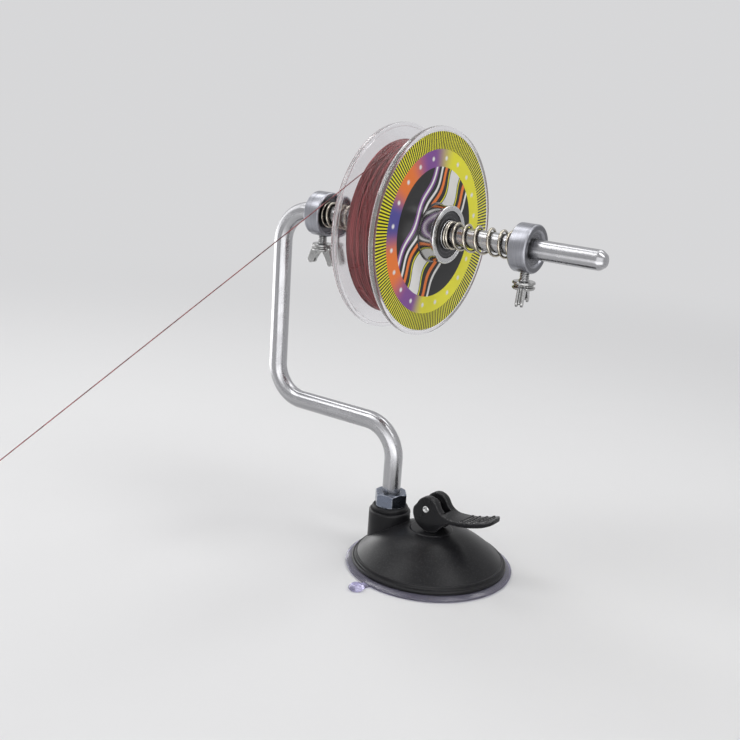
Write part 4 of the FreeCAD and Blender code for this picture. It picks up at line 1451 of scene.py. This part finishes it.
class WINDER_OT_spool(bpy.types.Operator):
    """Mould the clear flanges and the core"""
    bl_idname = "winder.spool"
    bl_label = "Spool"

    def execute(self, context):
        sizes = context.scene.winder_spool
        face = sizes.width / 2
        inner = face - sizes.flange_t
        bead = BEAD_FACE - face
        bore, seat_r, seat = 0.009, CUP_R + 0.0002, face - 0.00065
        bead_r = FLANGE_R - sizes.bead_w
        # A thin ring on the inner side plugs into the core.
        core_wall, plug_wall, plug_end = 0.0016, 0.0015, inner - 0.005
        plug_r = sizes.core_r - core_wall - SLIDE_GAP
        profile = eased([
            (seat, bore), (seat, seat_r), (face, seat_r), (face, bead_r - bead),
            (face + bead, bead_r), (face + bead, FLANGE_R - bead), (face, FLANGE_R),
            (inner, FLANGE_R), (inner - bead, FLANGE_R - bead), (inner - bead, bead_r),
            (inner, bead_r - bead), (inner, plug_r), (plug_end, plug_r),
            (plug_end, plug_r - plug_wall), (inner, plug_r - plug_wall), (inner, bore)], EASE)
        for side in SIDES:
            flange = turned(side + "_clear_flange", profile, SPOOL, outward(side), 224)
            dress(flange, "spool", "spool_clear", side + "_spool_flange")
        wall = sizes.core_r - core_wall
        core = turned("clear_core", eased([
            (-inner, wall), (inner, wall), (inner, sizes.core_r), (-inner, sizes.core_r)], 0.0002),
            SPOOL, X)
        dress(core, "spool", "spool_clear", "spool_core")
        return {"FINISHED"}


class WINDER_OT_label(bpy.types.Operator):
    """Lay the printed label on the right flange"""
    bl_idname = "winder.label"
    bl_label = "Label"

    def execute(self, context):
        face, hole = context.scene.winder_spool.width / 2, CUP_R + 0.0004
        label = turned("printed_label", eased([
            (face, hole), (LABEL_FACE, hole), (LABEL_FACE, LABEL_R), (face, LABEL_R)], 0.00005),
            SPOOL, X, 224)
        dress(label, "spool", "label_print", "spool_label")
        return {"FINISHED"}


class WINDER_OT_winding(bpy.types.Operator):
    """Wind the line: turns side by side, and slanted strands over them"""
    bl_idname = "winder.winding"
    bl_label = "Winding"

    def execute(self, context):
        sizes = context.scene.winder_spool
        chance = random.Random(7)
        half = sizes.width / 2 - sizes.flange_t - 0.0002
        line_r = sizes.line_d / 2
        edge = half - line_r
        crown = 0.0001

        def surface(x):
            return WINDING_R - crown * (x / half) ** 2

        def ring_point(x, angle, lift):
            r = surface(x) - line_r + lift
            return SPOOL + Vector((x, r * math.cos(angle), r * math.sin(angle)))

        bed_xs = [half * (1 - i / 8) for i in range(17)]
        bed = [(x, surface(x) - 1.6 * line_r) for x in bed_xs]
        profile = [(half, sizes.core_r)] + bed + [(-half, sizes.core_r)]
        parts = [turned("line_bed", profile, SPOOL, X, 144)]

        # Turns side by side, a little uneven.
        turns, steps = int(2 * half / sizes.line_d * 0.98), 90
        sway = [chance.uniform(-0.35, 0.35) * sizes.line_d for _ in range(turns + 1)]
        path = []
        for i in range(turns * steps + 1):
            place = i / steps
            x = 2 * edge * place / turns - edge
            x += curve_between(sway, min(place, turns - 0.001)) * 0.6
            path.append(ring_point(max(-edge, min(edge, x)), FULL_TURN * place, 0))
        parts.append(swept("top_layer", path, line_r * 1.04, 6, sharp=80))

        # Slanted strands that rise over them and dip back at both ends.
        for _ in range(sizes.crossings):
            start, span = chance.uniform(0, FULL_TURN), chance.uniform(0.7, 2.2)
            x_low, x_high = chance.uniform(-0.95, 0.2) * half, chance.uniform(-0.2, 0.95) * half
            lift = chance.uniform(0.3, 1.1) * line_r
            strand = []
            for t in [i / 40 for i in range(41)]:
                rise = lift * math.sin(math.pi * t) ** 0.4
                strand.append(ring_point(x_low + (x_high - x_low) * t, start + span * t, rise))
            parts.append(swept("crossing", strand, line_r, 6, sharp=80))
        winding = join(parts)
        winding.name = "wound_line"
        shade(winding, 80)
        dress(winding, "spool", "line_nylon", "line_winding")
        return {"FINISHED"}


LINE_ROUTE = (
    (-0.02310, -0.01916, 0.17508), (-0.04039, -0.09807, 0.12596), (-0.05768, -0.17699, 0.07684))
LOOP_R, LOOP_SQUEEZE = 0.0032, 0.9
KNOT_R, KNOT_LENGTH, KNOT_TURNS = 0.0006, 0.0014, 4


class WINDER_OT_free_line(bpy.types.Operator):
    """Draw the free end of the line, with the knot and loop that it is pulled by"""
    bl_idname = "winder.free_line"
    bl_label = "Free line"

    def execute(self, context):
        line_r = context.scene.winder_spool.line_d / 2
        curve = bpy.data.curves.new("pulled_line", "CURVE")
        curve.dimensions = "3D"
        spline = curve.splines.new("NURBS")
        spline.points.add(len(LINE_ROUTE) - 1)
        for point, place in zip(spline.points, LINE_ROUTE):
            point.co = (*place, 1)
        spline.order_u = 3
        spline.use_endpoint_u = True
        curve.bevel_depth = line_r
        curve.bevel_resolution = 3
        curve.use_fill_caps = True
        line = bpy.data.objects.new("pulled_line", curve)
        context.scene.collection.objects.link(line)
        dress(line, "carriage", "line_nylon", "free_line")

        start, end = Vector(LINE_ROUTE[0]), Vector(LINE_ROUTE[-1])
        ahead = (end - start).normalized()
        side = ahead.cross(Z).normalized()
        rim = ahead.cross(side)
        knot = end + ahead * 0.0009
        middle = knot + ahead * LOOP_R
        path = []
        for turn in [FULL_TURN * i / 48 for i in range(48)]:
            across = rim * LOOP_R * LOOP_SQUEEZE * math.sin(turn)
            path.append(middle - ahead * LOOP_R * math.cos(turn) + across)
        loop = swept("loop", path, line_r, 10, loop=True)
        wraps, steps = [], 24
        last = KNOT_TURNS * steps
        for i in range(last + 1):
            turn = FULL_TURN * i / steps
            spoke = side * math.cos(turn) + rim * math.sin(turn)
            wraps.append(knot + ahead * KNOT_LENGTH * (i / last - 0.5) + spoke * KNOT_R)
        tied = join([loop, swept("wraps", wraps, line_r, 8)])
        tied.name = "tied_loop"
        shade(tied, 60)
        dress(tied, "carriage", "line_nylon", "line_loop")
        return {"FINISHED"}


class WINDER_OT_packed_nodes(bpy.types.Operator):
    """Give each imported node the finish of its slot"""
    bl_idname = "winder.packed_nodes"
    bl_label = "Packed nodes"

    def execute(self, context):
        for part in frame["record"]["subparts"]:
            packed = frame["nodes"][part["node"]]
            packed.data.materials.clear()
            packed.data.materials.append(bpy.data.materials[part["material_slot"]])
        return {"FINISHED"}


class WINDER_OT_finishes(bpy.types.Operator):
    """Make the shared effects and all finishes"""
    bl_idname = "winder.finishes"
    bl_label = "Finishes"

    def execute(self, context):
        for effect in EFFECTS:
            effect()
        make_finishes()
        return {"FINISHED"}


STEPS = (
    WINDER_OT_finishes, WINDER_OT_stage, WINDER_OT_packed_nodes, WINDER_OT_arm, WINDER_OT_clamp,
    WINDER_OT_housing, WINDER_OT_pad, WINDER_OT_lever, WINDER_OT_collars, WINDER_OT_wing_screws,
    WINDER_OT_springs, WINDER_OT_bearings, WINDER_OT_spool, WINDER_OT_label, WINDER_OT_winding,
    WINDER_OT_free_line,
)


class WINDER_PT_steps(bpy.types.Panel):
    """Building steps of the winder"""
    bl_idname = "WINDER_PT_steps"
    bl_label = "Line winder"
    bl_space_type = "VIEW_3D"
    bl_region_type = "UI"
    bl_category = "Winder"

    def draw(self, context):
        for step in STEPS:
            self.layout.operator(step.bl_idname)


def register():
    for settings in SETTINGS.values():
        bpy.utils.register_class(settings)
    for name, settings in SETTINGS.items():
        setattr(bpy.types.Scene, name, PointerProperty(type=settings))
    for step in STEPS:
        bpy.utils.register_class(step)
    bpy.utils.register_class(WINDER_PT_steps)


def unregister():
    bpy.utils.unregister_class(WINDER_PT_steps)
    for step in reversed(STEPS):
        bpy.utils.unregister_class(step)
    for name in SETTINGS:
        delattr(bpy.types.Scene, name)
    for settings in reversed(SETTINGS.values()):
        bpy.utils.unregister_class(settings)


def main():
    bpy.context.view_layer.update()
    register()
    for step in STEPS:
        group, name = step.bl_idname.split(".")
        getattr(getattr(bpy.ops, group), name)()


if __name__ == "__main__":
    main()
